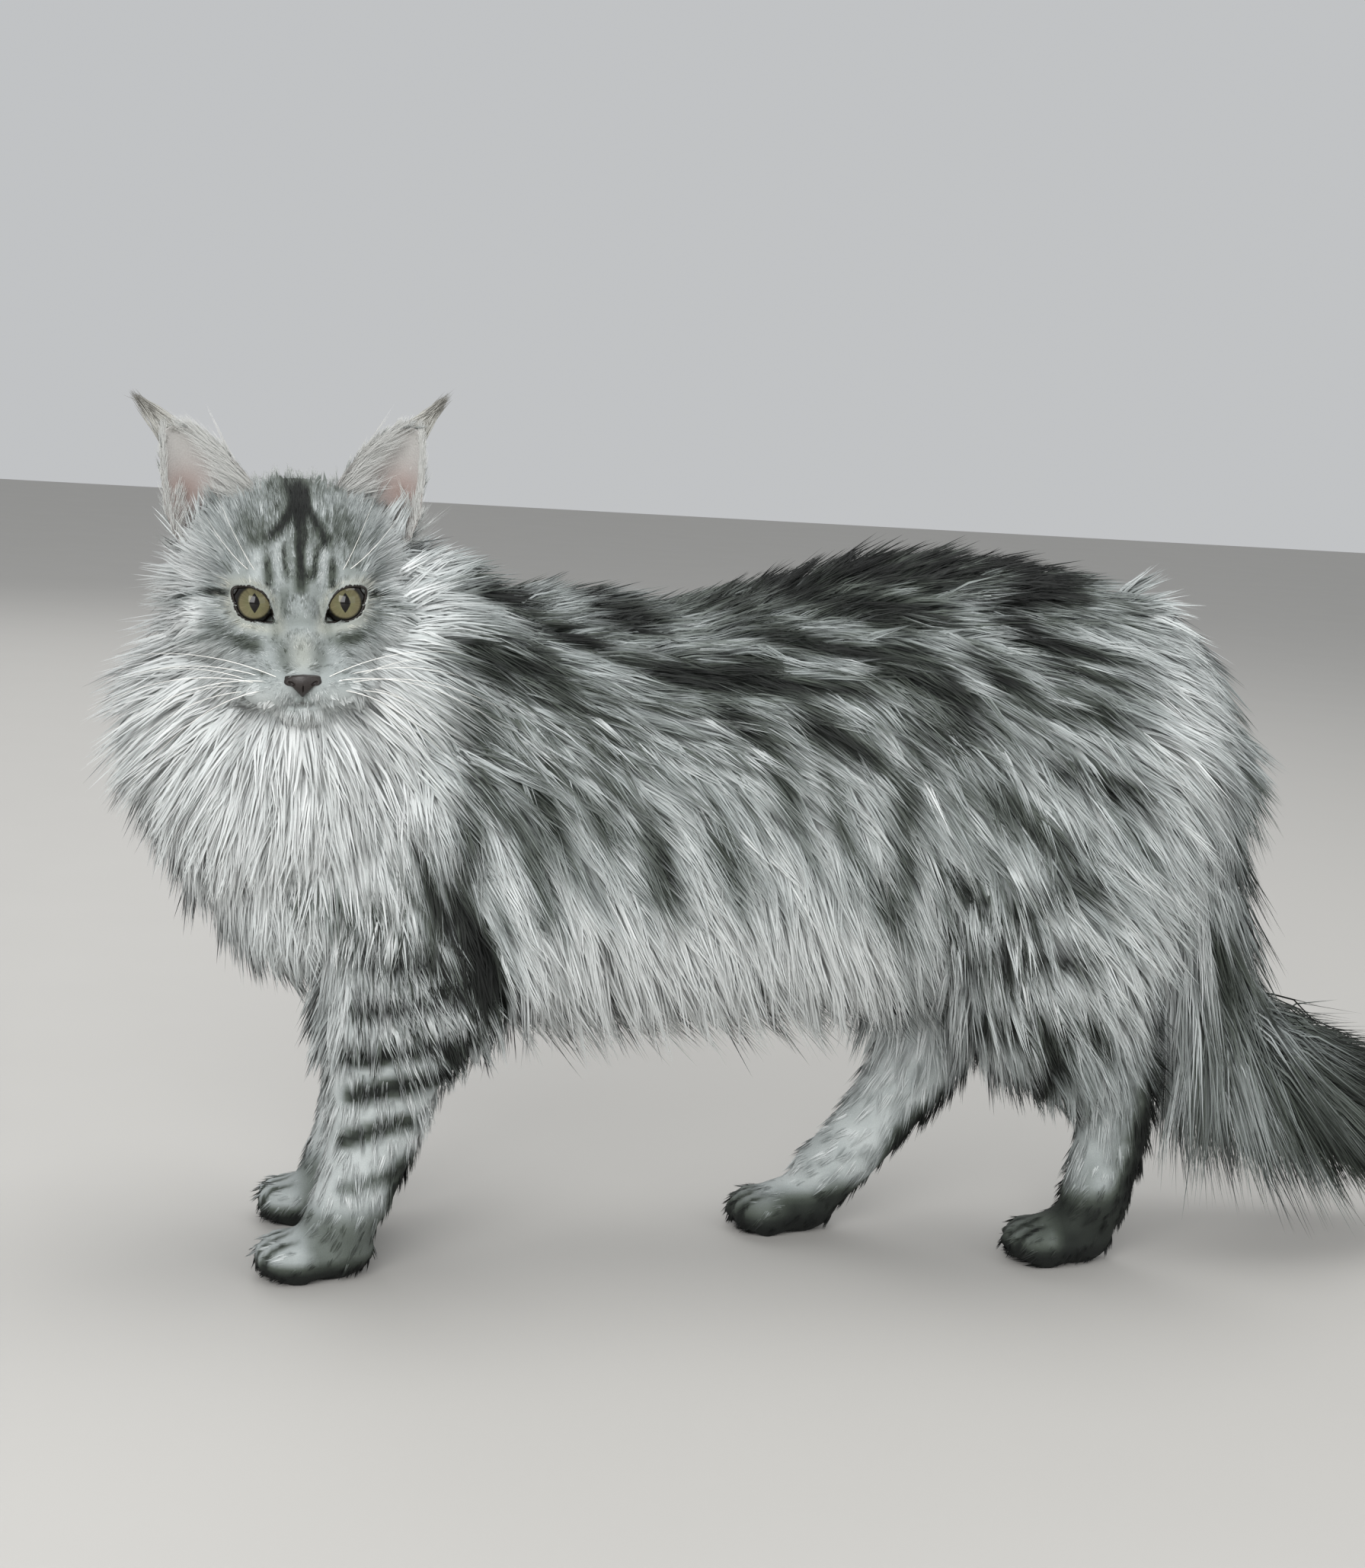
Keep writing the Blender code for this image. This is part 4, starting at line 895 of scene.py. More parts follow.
def eyeball(side):
    """Rings round the forward axis: radius R + bulge exp(-(angle / 0.55)^2). The iris colour
    goes by distance from the axis, its fibres by the angle round it."""
    polar = np.concatenate([np.linspace(0.004, 1.1, 96), np.linspace(1.14, np.pi - 0.03, 20)])
    turn_angle = np.linspace(0, 2 * np.pi, 180, endpoint=False)
    radius = (EYEBALL_RADIUS + CORNEA_BULGE * np.exp(-(polar / 0.55) ** 2))[:, None]
    x = radius * np.sin(polar)[:, None] * np.cos(turn_angle)
    y = radius * np.sin(polar)[:, None] * np.sin(turn_angle)
    z = radius * np.cos(polar)[:, None] * np.ones_like(turn_angle) - EYEBALL_RADIUS
    places = np.stack([x + side * EYE, y, z], -1).reshape(-1, 3)
    r = np.hypot(x, y).ravel() / IRIS_RADIUS
    around_angle = np.broadcast_to(turn_angle, x.shape).ravel()
    x, y, z = x.ravel(), y.ravel(), z.ravel()
    fibres = lattice_noise(np.column_stack([around_angle * 13, r * 1.6, 0 * r]), 1.0, 21)
    fibres += 0.5 * lattice_noise(np.column_stack([around_angle * 29, r * 2.6, 0 * r]), 1.0, 22)
    # Painted light and shade: the iris is darker toward the top, as the upper lid's shade, and lighter
    # toward the bottom, as light through the cornea
    fibres_and_painted_light = np.clip(0.55 + 0.35 * (fibres - 0.75) - 0.38 * y / IRIS_RADIUS + 0.12 * r, 0, 1)
    iris = mixed("#34311F", "#736D52", fibres_and_painted_light)
    green = np.exp(-((r - 0.45) / 0.2) ** 2)[:, None]
    iris = iris * (1 - 0.08 * green * np.array([1.0, 0.2, 1.0]))
    iris *= (1 - 0.85 * ramp(r, 0.86, 1.0))[:, None]
    slit = np.abs(x) / PUPIL_HALF_WIDTH / np.maximum(1 - (np.abs(y) / PUPIL_HALF_HEIGHT) ** 1.5, 1e-3)
    slit = np.where(np.abs(y) < PUPIL_HALF_HEIGHT, slit, 9.0)
    pupil = 1 - ramp(slit, 0.93, 1.07)
    # Past the iris the ball is painted near black, partly for the third lid and partly as painted shade in
    # the corners of the opening
    outside = ramp(r, 0.98, 1.05)
    dark = np.maximum(pupil, outside)[:, None] * (z > -2 * EYEBALL_RADIUS)[:, None]
    colours = iris + dark * (linear("#0B0907") - iris)
    piece = mesh_piece("eye", [(from_head(places), closed_grid(len(polar), len(turn_angle)))])
    paint(piece.data, colours)
    return piece


# Blown glass over a painted iris: a smooth wet coat over the colours, with specks 0.4 mm apart
# in the gloss of the paint
glass_eye = new_material("glass_eye")
eye_colour = add_node(glass_eye, "ShaderNodeAttribute", attribute_name="coat")
eye_place = add_node(glass_eye, "ShaderNodeTexCoord")
eye_fleck = add_node(glass_eye, "ShaderNodeTexNoise", [("Vector", eye_place.outputs["Object"])],
                     Scale=2.5 * PER_MM)
eye_gloss = add_node(glass_eye, "ShaderNodeMapRange", [("Value", eye_fleck.outputs["Fac"])],
                     To_Min=0.16, To_Max=0.24)
eye_shader = add_node(glass_eye, "ShaderNodeBsdfPrincipled",
                      [("Base Color", eye_colour.outputs["Color"]),
                       ("Roughness", eye_gloss.outputs["Result"])],
                      Specular_IOR_Level=0.05, Coat_Weight=1.0, Coat_Roughness=0.02, Coat_IOR=1.34)
add_node(glass_eye, "ShaderNodeOutputMaterial", [("Surface", eye_shader.outputs["BSDF"])])
for side, node in ((1.0, "eye_left"), (-1.0, "eye_right")):
    eye = face_outward(eyeball(side))
    eye.name = node + "_glass"
    eye.data.shade_smooth()
    eye.data.materials.append(glass_eye)
    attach(eye, "root")
    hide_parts(node)

# Lid rims: the dark, hairless edge of both lids, a fine wet line round each opening that lies
# on the eyeball and thickens toward the inner corner.
RIM_RADIUS, RIM_STEPS, RIM_SIDES = 0.085, 120, 10


def lid_rim(side):
    """A closed tube round the opening: the loop on the eyeball's front plus the rim radius
    times cosine and sine across it, a little thicker at the inner corner."""
    loop = rounded_loop(OPENING, RIM_STEPS)
    depth = np.sqrt(np.maximum((EYEBALL_RADIUS + 0.03) ** 2 - np.square(loop).sum(1), 0.17))
    path = np.column_stack([loop, depth - EYEBALL_RADIUS])
    along = unit(np.roll(path, -1, 0) - np.roll(path, 1, 0))
    out = unit(np.column_stack([loop, depth]))
    out = unit(out - along * (out * along).sum(1)[:, None])
    beside = np.cross(along, out)
    inner = np.exp(-np.square(loop - (-0.9, -0.9)).sum(1) / 0.2)
    thick = (RIM_RADIUS * (1 + 0.5 * inner))[:, None, None]
    a = np.linspace(0, 2 * np.pi, RIM_SIDES, endpoint=False)[None, :, None]
    tube = path[:, None] + thick * (0.75 * np.cos(a) * out[:, None] + np.sin(a) * beside[:, None])
    tube[..., 0] = side * (tube[..., 0] + EYE)
    ring = np.arange(RIM_STEPS)[:, None] * RIM_SIDES
    next_ring = np.roll(ring, -1, 0)
    j = np.arange(RIM_SIDES)[None, :]
    k = (j + 1) % RIM_SIDES
    quads = np.stack([ring + j, ring + k, next_ring + k, next_ring + j], -1)
    return from_head(tube.reshape(-1, 3)), quads.reshape(-1, 4).tolist()


def flecked(name, flecks_per_mm, first_hex, second_hex, roughness, gloss):
    """A material whose colour wanders between two by a fine noise."""
    material = new_material(name)
    place = add_node(material, "ShaderNodeTexCoord")
    flecks = add_node(material, "ShaderNodeTexNoise", [("Vector", place.outputs["Object"])],
                      Scale=flecks_per_mm * PER_MM)
    tint = add_node(material, "ShaderNodeValToRGB", [("Fac", flecks.outputs["Fac"])])
    for stop, hex_colour in zip(tint.color_ramp.elements, (first_hex, second_hex)):
        stop.color = (*linear(hex_colour), 1)
    shader = add_node(material, "ShaderNodeBsdfPrincipled", [("Base Color", tint.outputs["Color"])],
                      Roughness=roughness, Specular_IOR_Level=gloss)
    add_node(material, "ShaderNodeOutputMaterial", [("Surface", shader.outputs["BSDF"])])
    return material


rims = face_outward(mesh_piece("lid_rims", [lid_rim(1.0), lid_rim(-1.0)]))
rims.data.shade_smooth()
# Bare skin of the lids: nearly black, moist, with pores a third of a millimetre apart
rims.data.materials.append(flecked("lid_rim_skin", 3.0, "#0D0B09", "#231D18", roughness=0.4, gloss=0.25))
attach(rims, "root")

# Nose leather: the bare nose pad, a rounded wedge with two comma-shaped nostrils and a fine
# pebbled grain, dark with a slightly browner middle.
NOSE_MIDDLE = np.array([0.0, -3.5, 1.2])


def nose_field(q):
    """Negative inside the nose pad: a ball cut by soft planes to a wedge, with a wing of skin
    over each nostril, less the nostrils and the cleft between them."""
    side = np.abs(q[:, 0])
    ball_part = ball_field(q, (0.0, -3.42, 1.36), (1.08, 0.86, 0.98))
    flank = 0.745 * (side - 0.84) - 0.667 * (q[:, 1] + 3.3)
    crown = q[:, 1] + 3.12 + 0.12 * side
    wedge = -blend(-flank, -crown, 0.16)
    body = -blend(-ball_part, -wedge, 0.12)
    wing = ball_field(np.column_stack([side, q[:, 1:]]), (0.62, -3.5, 1.75), (0.3, 0.2, 0.42))
    body = blend(body, wing, 0.12)
    folded = np.column_stack([side, q[:, 1] - 0.35 * (side - 0.5), q[:, 2]])
    nostril = ball_field(folded, (0.54, -3.56, 2.22), (0.17, 0.09, 0.17))
    cleft = ball_field(q, (0.0, -4.0, 2.25), (0.035, 0.36, 0.2))
    for hole in (nostril, cleft):
        body = -blend(-body, hole, 0.05)
    return body


NOSE_RINGS, NOSE_BACK_RINGS, NOSE_SIDES = 110, 30, 160
nose_directions = around(NOSE_RINGS, NOSE_BACK_RINGS, split=1.5, sides=NOSE_SIDES)
nose_reach = outermost(nose_field, NOSE_MIDDLE, nose_directions, start=2.2, step=0.05)
nose = mesh_piece("nose_pad", [(from_head(NOSE_MIDDLE + nose_directions * nose_reach[:, None]),
                                closed_grid(NOSE_RINGS + NOSE_BACK_RINGS, NOSE_SIDES))])
face_outward(nose).data.shade_smooth()
# Nose leather: damp bare skin, whose pebbles, 0.45 mm wide, break its gloss
nose_leather = new_material("nose_leather")
nose_place = add_node(nose_leather, "ShaderNodeTexCoord")
pebbles = add_node(nose_leather, "ShaderNodeTexVoronoi", [("Vector", nose_place.outputs["Object"])],
                   Scale=2.2 * PER_MM)
nose_tint = add_node(nose_leather, "ShaderNodeValToRGB", [("Fac", pebbles.outputs["Distance"])])
nose_tint.color_ramp.elements[0].color = (*linear("#2E2623"), 1)
nose_tint.color_ramp.elements[1].color = (*linear("#151210"), 1)
nose_bump = add_node(nose_leather, "ShaderNodeBump", [("Height", pebbles.outputs["Distance"])],
                     Strength=0.35, Distance=0.0002, invert=True)
nose_shader = add_node(nose_leather, "ShaderNodeBsdfPrincipled",
                       [("Base Color", nose_tint.outputs["Color"]),
                        ("Normal", nose_bump.outputs["Normal"])], Roughness=0.42)
add_node(nose_leather, "ShaderNodeOutputMaterial", [("Surface", nose_shader.outputs["BSDF"])])
nose.data.materials.append(nose_leather)
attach(nose, "root")
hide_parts("nose_leather")

# The coat: locks of thin tapered hairs, each hair a closed three-sided blade. How the hair lies
# is combed in: a table of places with the direction, length and lift of the hair there,
# and everything between follows by distance.
# Each row: x, y, z; direction x, y, z; length in cm, lift in degrees, reach of the row in cm
BODY_COMB = [
    (-9, 0, 34, 0.95, 0.0, 0.0, 3.8, 36, 4), (0, 0, 34, 1, 0, 0, 3.7, 36, 4),
    (8, 0, 35, 1, 0, 0, 3.7, 32, 4), (16, 0, 37, 1, 0, -0.05, 3.8, 24, 4),
    (23, 0, 36, 0.9, 0, -0.4, 4.0, 22, 4), (27, 0, 33, 0.6, 0, -0.8, 4.0, 20, 3),
    (25, 0, 35.2, 0.8, 0, -0.6, 3.2, 12, 2.2),
    (-7, -4, 33, 0.9, -0.15, -0.35, 3.8, 28, 4), (4, -4, 33, 0.95, -0.15, -0.3, 3.5, 24, 4),
    (14, -4, 35, 0.9, -0.15, -0.35, 3.6, 24, 4), (22, -4, 34, 0.8, -0.2, -0.55, 4.0, 26, 4),
    (-5, -7, 26, 0.72, -0.1, -0.68, 3.4, 24, 4), (3, -7, 27, 0.72, -0.1, -0.68, 3.4, 24, 4),
    (10, -7, 28, 0.68, -0.1, -0.72, 3.5, 24, 4), (-4, -7, 20, 0.4, 0, -0.9, 4.0, 24, 4),
    (4, -7, 19, 0.35, 0, -0.92, 4.4, 24, 4), (10, -7, 20, 0.4, 0, -0.9, 4.2, 24, 4),
    (-5, -4, 15, 0.2, 0, -0.95, 5.6, 44, 3), (3, -4, 15, 0.2, 0, -0.95, 6.0, 44, 3),
    (10, -4, 16, 0.2, 0, -0.95, 6.0, 44, 3), (-5, 0, 14.4, 0.7, 0, -0.6, 5.4, 52, 3),
    (4, 0, 15, 0.7, 0, -0.6, 5.8, 52, 3), (12, 0, 16, 0.6, 0, -0.7, 5.6, 50, 3),
    (-11, -7, 27, 0.45, 0, -0.88, 4.0, 26, 4), (-12, -7, 20, 0.3, 0, -0.94, 2.8, 20, 3.5),
    (-12.5, -7, 15, 0.3, 0, -0.95, 1.9, 18, 3), (-13.1, -6.5, 11, 0.05, 0, -1, 1.5, 17, 2.5),
    (-10.4, -5, 13.4, 0.5, 0, -0.85, 2.2, 26, 2.2), (-11.2, -5, 10, 0.3, 0, -0.95, 1.7, 22, 2),
    (-13.7, -6, 7.5, -0.05, 0, -1, 1.4, 17, 2), (-14.3, -5, 4.5, -0.2, 0, -1, 1.2, 16, 1.8),
    (-17, -4.7, 2.3, -0.9, 0, -0.45, 0.95, 14, 1.5), (-18.6, -4.7, 1, -0.6, 0, -0.8, 0.8, 14, 1.2),
    (-14, -4.7, 1.5, -0.5, 0, -0.6, 0.9, 14, 1.5),
    (18, -7, 28, 0.6, -0.1, -0.8, 3.9, 24, 4), (20, -7.5, 22, 0.7, 0, -0.72, 3.9, 24, 3.5),
    (20, -7.3, 17, 0.65, 0, -0.78, 3.6, 24, 3), (15.5, -6, 19, 0.3, 0, -0.95, 3.8, 28, 3),
    (22.5, -6, 13, 0.3, 0, -0.95, 2.8, 24, 2.5),
    (26, -3.5, 27, 0.6, 0, -0.8, 5.0, 36, 3), (25.5, -3.5, 21, 0.5, 0, -0.86, 5.2, 38, 3),
    (25, -3, 16, 0.45, 0, -0.9, 4.6, 34, 2.5), (24.8, -3, 11, 0.1, 0, -1, 2.0, 22, 2),
    (25.8, -2.9, 6.5, 0, 0, -1, 1.35, 18, 2), (24, -2.7, 2.6, -0.9, 0, -0.4, 0.95, 14, 1.5),
    (20.6, -2.7, 1.2, -0.7, 0, -0.7, 0.8, 14, 1.3), (26.4, -2.7, 1.6, -0.1, 0, -0.9, 0.9, 14, 1.3),
    (27.6, 0.2, 30.6, 0.4, 0, -0.9, 4.6, 28, 2.5), (29.2, 0.5, 25.6, 0.15, 0, -0.97, 5.4, 36, 2.2),
    (29.9, 0.8, 20.4, 0.05, 0, -0.98, 6.8, 32, 2.2), (30.7, 1.1, 15.6, 0.1, 0, -0.98, 9.4, 33, 2.2),
    (33, 1.4, 11.8, 0.4, 0, -0.9, 8.2, 42, 2.2), (37, 1.7, 9.4, 0.7, 0, -0.7, 7.4, 44, 2.2),
    (41.4, 1.9, 7.6, 0.85, 0, -0.5, 6.0, 38, 2.2), (46, 2, 6.3, 0.98, 0, -0.2, 3.8, 26, 2.2),
]
RIGHT_HIND_COMB = [
    (17.0, 3.6, 12.0, 0.1, 0, -1, 2.6, 24, 2.5), (15.8, 3.3, 8.4, -0.5, 0, -0.85, 1.6, 18, 2),
    (13, 2.8, 4.5, -0.75, 0, -0.65, 1.2, 16, 1.8), (10, 2.7, 2.5, -0.9, 0, -0.4, 0.95, 14, 1.5),
    (7.2, 2.7, 1.1, -0.7, 0, -0.7, 0.8, 14, 1.2),
]
MANE_COMB = [
    (-13, -7, 29, 0.6, -0.25, -0.75, 4.2, 24, 3), (-16, -8.2, 25, 0.15, -0.2, -0.97, 4.4, 26, 3),
    (-20, -8, 25.5, -0.1, -0.1, -0.98, 4.0, 24, 3), (-24, -3, 26, -0.2, 0.1, -0.97, 3.8, 28, 3),
    (-20, -5, 20, 0.1, 0, -1, 3.4, 22, 3), (-17, -2, 16.5, 0.1, 0, -1, 4.2, 32, 2.5),
    (-13.5, 0, 14.6, 0.3, 0, -0.9, 4.2, 40, 2.5), (-21, 1.5, 28, -0.5, 0.3, -0.8, 5.6, 42, 3),
    (-17, 5, 28, 0.1, 0.2, -0.95, 4.4, 30, 3), (-15, 6, 22, 0.1, 0.05, -0.98, 3.6, 24, 3),
    (-13, 0.5, 34, 0.85, 0.2, -0.1, 3.8, 36, 3), (-10, -5, 32, 0.8, -0.2, -0.55, 3.4, 24, 3),
    (-14.2, -2.4, 34.6, 0.8, -0.3, -0.4, 2.6, 18, 1.7), (-14.0, -3.4, 31.5, 0.7, -0.3, -0.6, 3.6, 24, 1.8),
]
# The same on the head, across, up and forward, for its left half and mirrored
HEAD_COMB = [
    (0, -2, 0.8, 0, 1, -0.2, 0.35, 12, 0.6), (0.9, -2.5, 0.9, 0.6, 0.5, -0.6, 0.32, 12, 0.5),
    (0, 0, -0.5, 0, 1, -0.2, 0.42, 13, 0.8), (0, 2, -0.8, 0, 1, -0.4, 0.5, 14, 1.2),
    (1.3, 2.2, -1.0, 0.12, 0.95, -0.4, 0.55, 14, 1.2), (0, 3.6, -1.6, 0, 0.9, -0.6, 0.75, 18, 1.2),
    (1.8, 4.0, -2.4, 0.2, 0.8, -0.6, 1.0, 22, 1.4), (0, 5, -3.6, 0, 0.7, -0.8, 1.05, 26, 1.6),
    (2.0, 1.15, -0.75, 0.25, 0.95, -0.3, 0.5, 14, 0.7), (3.6, 0.9, -2.9, 0.7, 0.3, -0.7, 2.4, 32, 1.0),
    (3.3, 2.6, -3.4, 0.4, 0.7, -0.6, 1.8, 28, 1.2), (3.2, 0, -1.7, 0.9, 0.1, -0.5, 0.8, 18, 0.8),
    (2.2, -1.4, -0.3, 0.75, -0.5, -0.5, 0.45, 14, 0.7), (3.3, -1.7, -1.5, 0.8, -0.45, -0.6, 0.9, 20, 0.9),
    (4.2, -0.6, -3.6, 0.7, 0.0, -0.8, 4.6, 50, 1.4), (4.3, 1.4, -4.6, 0.6, 0.2, -0.8, 3.8, 48, 1.4),
    (4.1, -2.6, -3.0, 0.8, -0.5, -0.5, 4.6, 48, 1.4), (3.3, -4.3, -2.0, 0.6, -0.75, -0.3, 3.8, 42, 1.0),
    (0, -4.9, 1.3, 0, -0.95, -0.2, 0.5, 12, 0.5), (0, -5.2, 0.8, 0, -0.95, 0.0, 1.3, 20, 0.6),
    (0, -5.5, 0.1, 0, -0.95, 0.1, 3.0, 30, 0.8), (1.6, -5.3, -0.4, 0.3, -0.9, 0.0, 4.0, 34, 1.0),
    (0, -6.6, -0.4, 0, -1, 0.1, 4.6, 34, 1.1), (2.2, -6.2, -1.0, 0.3, -0.95, 0.1, 4.6, 36, 1.2),
    (1.0, -4.9, 0.7, 0.25, -0.9, -0.2, 0.8, 14, 0.5), (1.6, -4.5, 1.2, 0.45, -0.8, -0.4, 0.45, 10, 0.5),
    (2.4, -4.5, 0.2, 0.6, -0.75, -0.4, 1.0, 14, 0.6), (1.5, -3.6, 1.9, 0.8, -0.2, -0.5, 0.42, 12, 0.7),
    (0.5, -4.3, 1.7, 0.3, -0.8, -0.4, 0.35, 12, 0.5), (2.6, -3.8, 0.4, 0.75, -0.45, -0.6, 0.9, 18, 0.8),
    (4.3, 0.6, -6.2, 0.35, -0.1, -0.9, 5.4, 50, 1.8), (4.2, -2.6, -5.6, 0.6, -0.5, -0.7, 5.8, 50, 1.8),
    (2.6, -5.0, -4.4, 0.3, -0.9, -0.3, 5.2, 44, 1.8), (2.6, 3.8, -6.6, 0.2, 0.1, -0.95, 3.2, 36, 1.8),
    (0, 3.4, -8.8, 0, -0.3, -0.9, 3.4, 34, 2), (3.4, 6.2, -5.4, 0.4, 0.9, -0.1, 0.75, 12, 0.9),
    (5.4, 4.2, -6.0, 0.1, 1, 0, 0.8, 12, 0.9), (5.5, 7.4, -5.5, 0.5, 0.8, 0, 0.8, 12, 0.8),
    (3.6, 4.2, -6.4, 0.25, 0.95, -0.1, 1.1, 16, 0.9), (1.2, -0.3, -0.7, 0.5, 0.8, -0.3, 0.3, 12, 0.5),
]
comb = [np.array(BODY_COMB + RIGHT_HIND_COMB + MANE_COMB, float)]
body_mirror = np.array([r for r in BODY_COMB if r[1] < -1.2], float)
body_mirror[:, [1, 4]] *= -1
comb.append(body_mirror)
head_rows = np.array(HEAD_COMB, float)
for side in (1.0, -1.0):
    rows = head_rows.copy()
    rows[:, [0, 3]] *= side
    rows[:, 3:6] = rows[:, 3:6] @ HEAD_AXES
    rows[:, :3] = from_head(rows[:, :3])
    comb.append(rows)
comb = np.vstack(comb)
comb[:, 3:6] = unit(comb[:, 3:6])


def combed(points, normals):
    """Lie, length and lift of the hair: the rows' values weighted by exp(-(d / reach)^2 / 2)
    times (4 / reach)^2, the lie then laid onto the skin."""
    away = np.linalg.norm(points[:, None, :] - comb[None, :, :3], axis=2) / comb[:, 8]
    logs = -0.5 * away ** 2 + 2 * np.log(4 / comb[:, 8])
    weight = np.exp(logs - logs.max(1, keepdims=True))
    weight /= weight.sum(1, keepdims=True)
    lie = weight @ comb[:, 3:6]
    lie = unit(lie - normals * (lie * normals).sum(1)[:, None])
    return lie, weight @ comb[:, 6], np.radians(weight @ comb[:, 7])


# Where the roots of each piece of coat may be, by triangle of the skin: zones set by the places
# of the triangles' centres on the body and on the head
skin.data.calc_loop_triangles()
corner_index = np.empty(3 * len(skin.data.loop_triangles), np.int32)
skin.data.loop_triangles.foreach_get("vertices", corner_index)
corner_index = corner_index.reshape(-1, 3)
corners = skin_points[corner_index]
triangle_area = 0.5 * np.linalg.norm(np.cross(corners[:, 1] - corners[:, 0],
                                              corners[:, 2] - corners[:, 0]), axis=1)
normal_there = unit(skin_normals[corner_index].sum(1))
x, y, z = corners.mean(1).T
on_head_there = to_head(corners.mean(1))
across, up, ahead = on_head_there.T
aside = np.abs(across)
ear_like = (aside * 0.62 + up > 5.95) | (up > 5.35) | ((aside > 4.25) & (up > 2.2))
ear_like &= (ahead < -3.3) & (ahead > -8.5) & (aside < 7.0)
on_head = np.linalg.norm((on_head_there - (0, -1.0, -2.6)) / (5.2, 6.2, 5.4), axis=1) < 1
face_oval = (np.abs((on_head_there[:, :2] - (0, 0.2)) / (3.9, 5.8)) ** 3).sum(1)
face = on_head & (face_oval < 1) & (ahead > -3.6) & ~ear_like
leg = (z < np.where(x < 0, 12.5, 11.5)) & (x < 28) & ~on_head
tail_zone = (x > 28.0) | ((x > 26.4) & (z < 31.5) & (np.abs(y) < 2.4)) | ((x > 27) & (z > 28))
tail_zone &= ~leg
hind = (x > 13.0) & ~leg & ~tail_zone & (z < 31.0)
mane = ~face & ~ear_like & ~leg & ((x < -12.2) | on_head | (ahead > -9.5)) & (x < -9.0)
belly = (z < 17.2) & (x >= -12.2) & (x <= 13.0) & ~leg & (normal_there[:, 2] < -0.15)
side_of_trunk = ~(face | ear_like | leg | tail_zone | hind | mane | belly)
off_eyes = (opening_share(across, up) > 1.06) | (ahead < -2.4)
on_nose = (aside < 0.85) & (up < -3.2) & (up > -4.0) & (ahead > 1.0)
on_nose &= 0.745 * (aside - 0.84) - 0.667 * (up + 3.3) < 0


def scatter(weight, count, rng):
    """Roots spread over the skin's triangles in proportion to area times weight: one random
    pick in each of count equal shares of the running total."""
    total = np.cumsum(triangle_area * weight)
    picks = (np.arange(count) + rng.random(count)) / count * total[-1]
    chosen = np.minimum(np.searchsorted(total, picks), len(total) - 1)
    u, v = np.sqrt(rng.random(count)), rng.random(count)
    share = np.column_stack([1 - u, u * (1 - v), u * v])[:, :, None]
    roots = (corners[chosen] * share).sum(1)
    normals = unit((skin_normals[corner_index[chosen]] * share).sum(1))
    return roots, normals


BLADE_SPANS = 2
BLADE_POINTS = 3 * BLADE_SPANS + 1
BLADE_THICKNESS = 0.3


def blades(roots, ups, sides, mids, tips, widths):
    """Closed three-sided blades along quadratic Bezier curves from root by mid to tip. Width
    runs as 0.75 + 0.6 s - 1.35 s^2 of the full width down to a point at the tip. Gives points,
    triangles, and s at each point."""
    s = np.linspace(0.0, 1.0, BLADE_SPANS + 1)[:-1]
    s3 = s[None, :, None]
    line = ((1 - s3) ** 2 * roots[:, None] + 2 * s3 * (1 - s3) * mids[:, None]
            + s3 ** 2 * tips[:, None])
    width = widths[:, None, None] * (0.75 + 0.6 * s3 - 1.35 * s3 ** 2)
    side, up = sides[:, None], ups[:, None]
    rings = np.stack([line - side * width / 2, line + side * width / 2,
                      line + up * width * BLADE_THICKNESS], 2)
    count = len(roots)
    points = np.concatenate([rings.reshape(count, -1, 3), tips[:, None]], 1).reshape(-1, 3)
    shares = np.concatenate([np.repeat(s, 3), [1.0]])
    edges = ((0, 1), (1, 2), (2, 0))
    faces = [(2, 1, 0)]
    for k in range(0, 3 * BLADE_SPANS - 3, 3):
        for i, j in edges:
            faces += [(k + i, k + j, k + 3 + j), (k + i, k + 3 + j, k + 3 + i)]
    last = 3 * BLADE_SPANS - 3
    faces += [(last + i, last + j, last + 3) for i, j in edges]
    starts = BLADE_POINTS * np.arange(count)[:, None, None]
    return points, (np.array(faces)[None] + starts).reshape(-1, 3), np.tile(shares, count)


def triangle_mesh(name, points, faces):
    """A mesh object of triangles only, set from whole arrays."""
    mesh = bpy.data.meshes.new(name)
    mesh.vertices.add(len(points))
    mesh.vertices.foreach_set("co", metres(points).astype(np.float32).ravel())
    mesh.loops.add(3 * len(faces))
    mesh.loops.foreach_set("vertex_index", faces.astype(np.int32).ravel())
    mesh.polygons.add(len(faces))
    mesh.polygons.foreach_set("loop_start", np.arange(0, 3 * len(faces), 3, dtype=np.int32))
    mesh.update(calc_edges=True)
    mesh.shade_smooth()
    return add_object(name, mesh)


PATCH, MAP_EDGE, MAP_SPAN = 0.003, 0.02, 0.95
ring_step = np.repeat(np.linspace(0, 0.75, BLADE_SPANS), 3)
PATCH_CORNERS = np.column_stack([np.append(ring_step, 1.0),
                                 np.append(np.tile([0.0, 1.0, 0.5], BLADE_SPANS), 0.5)])


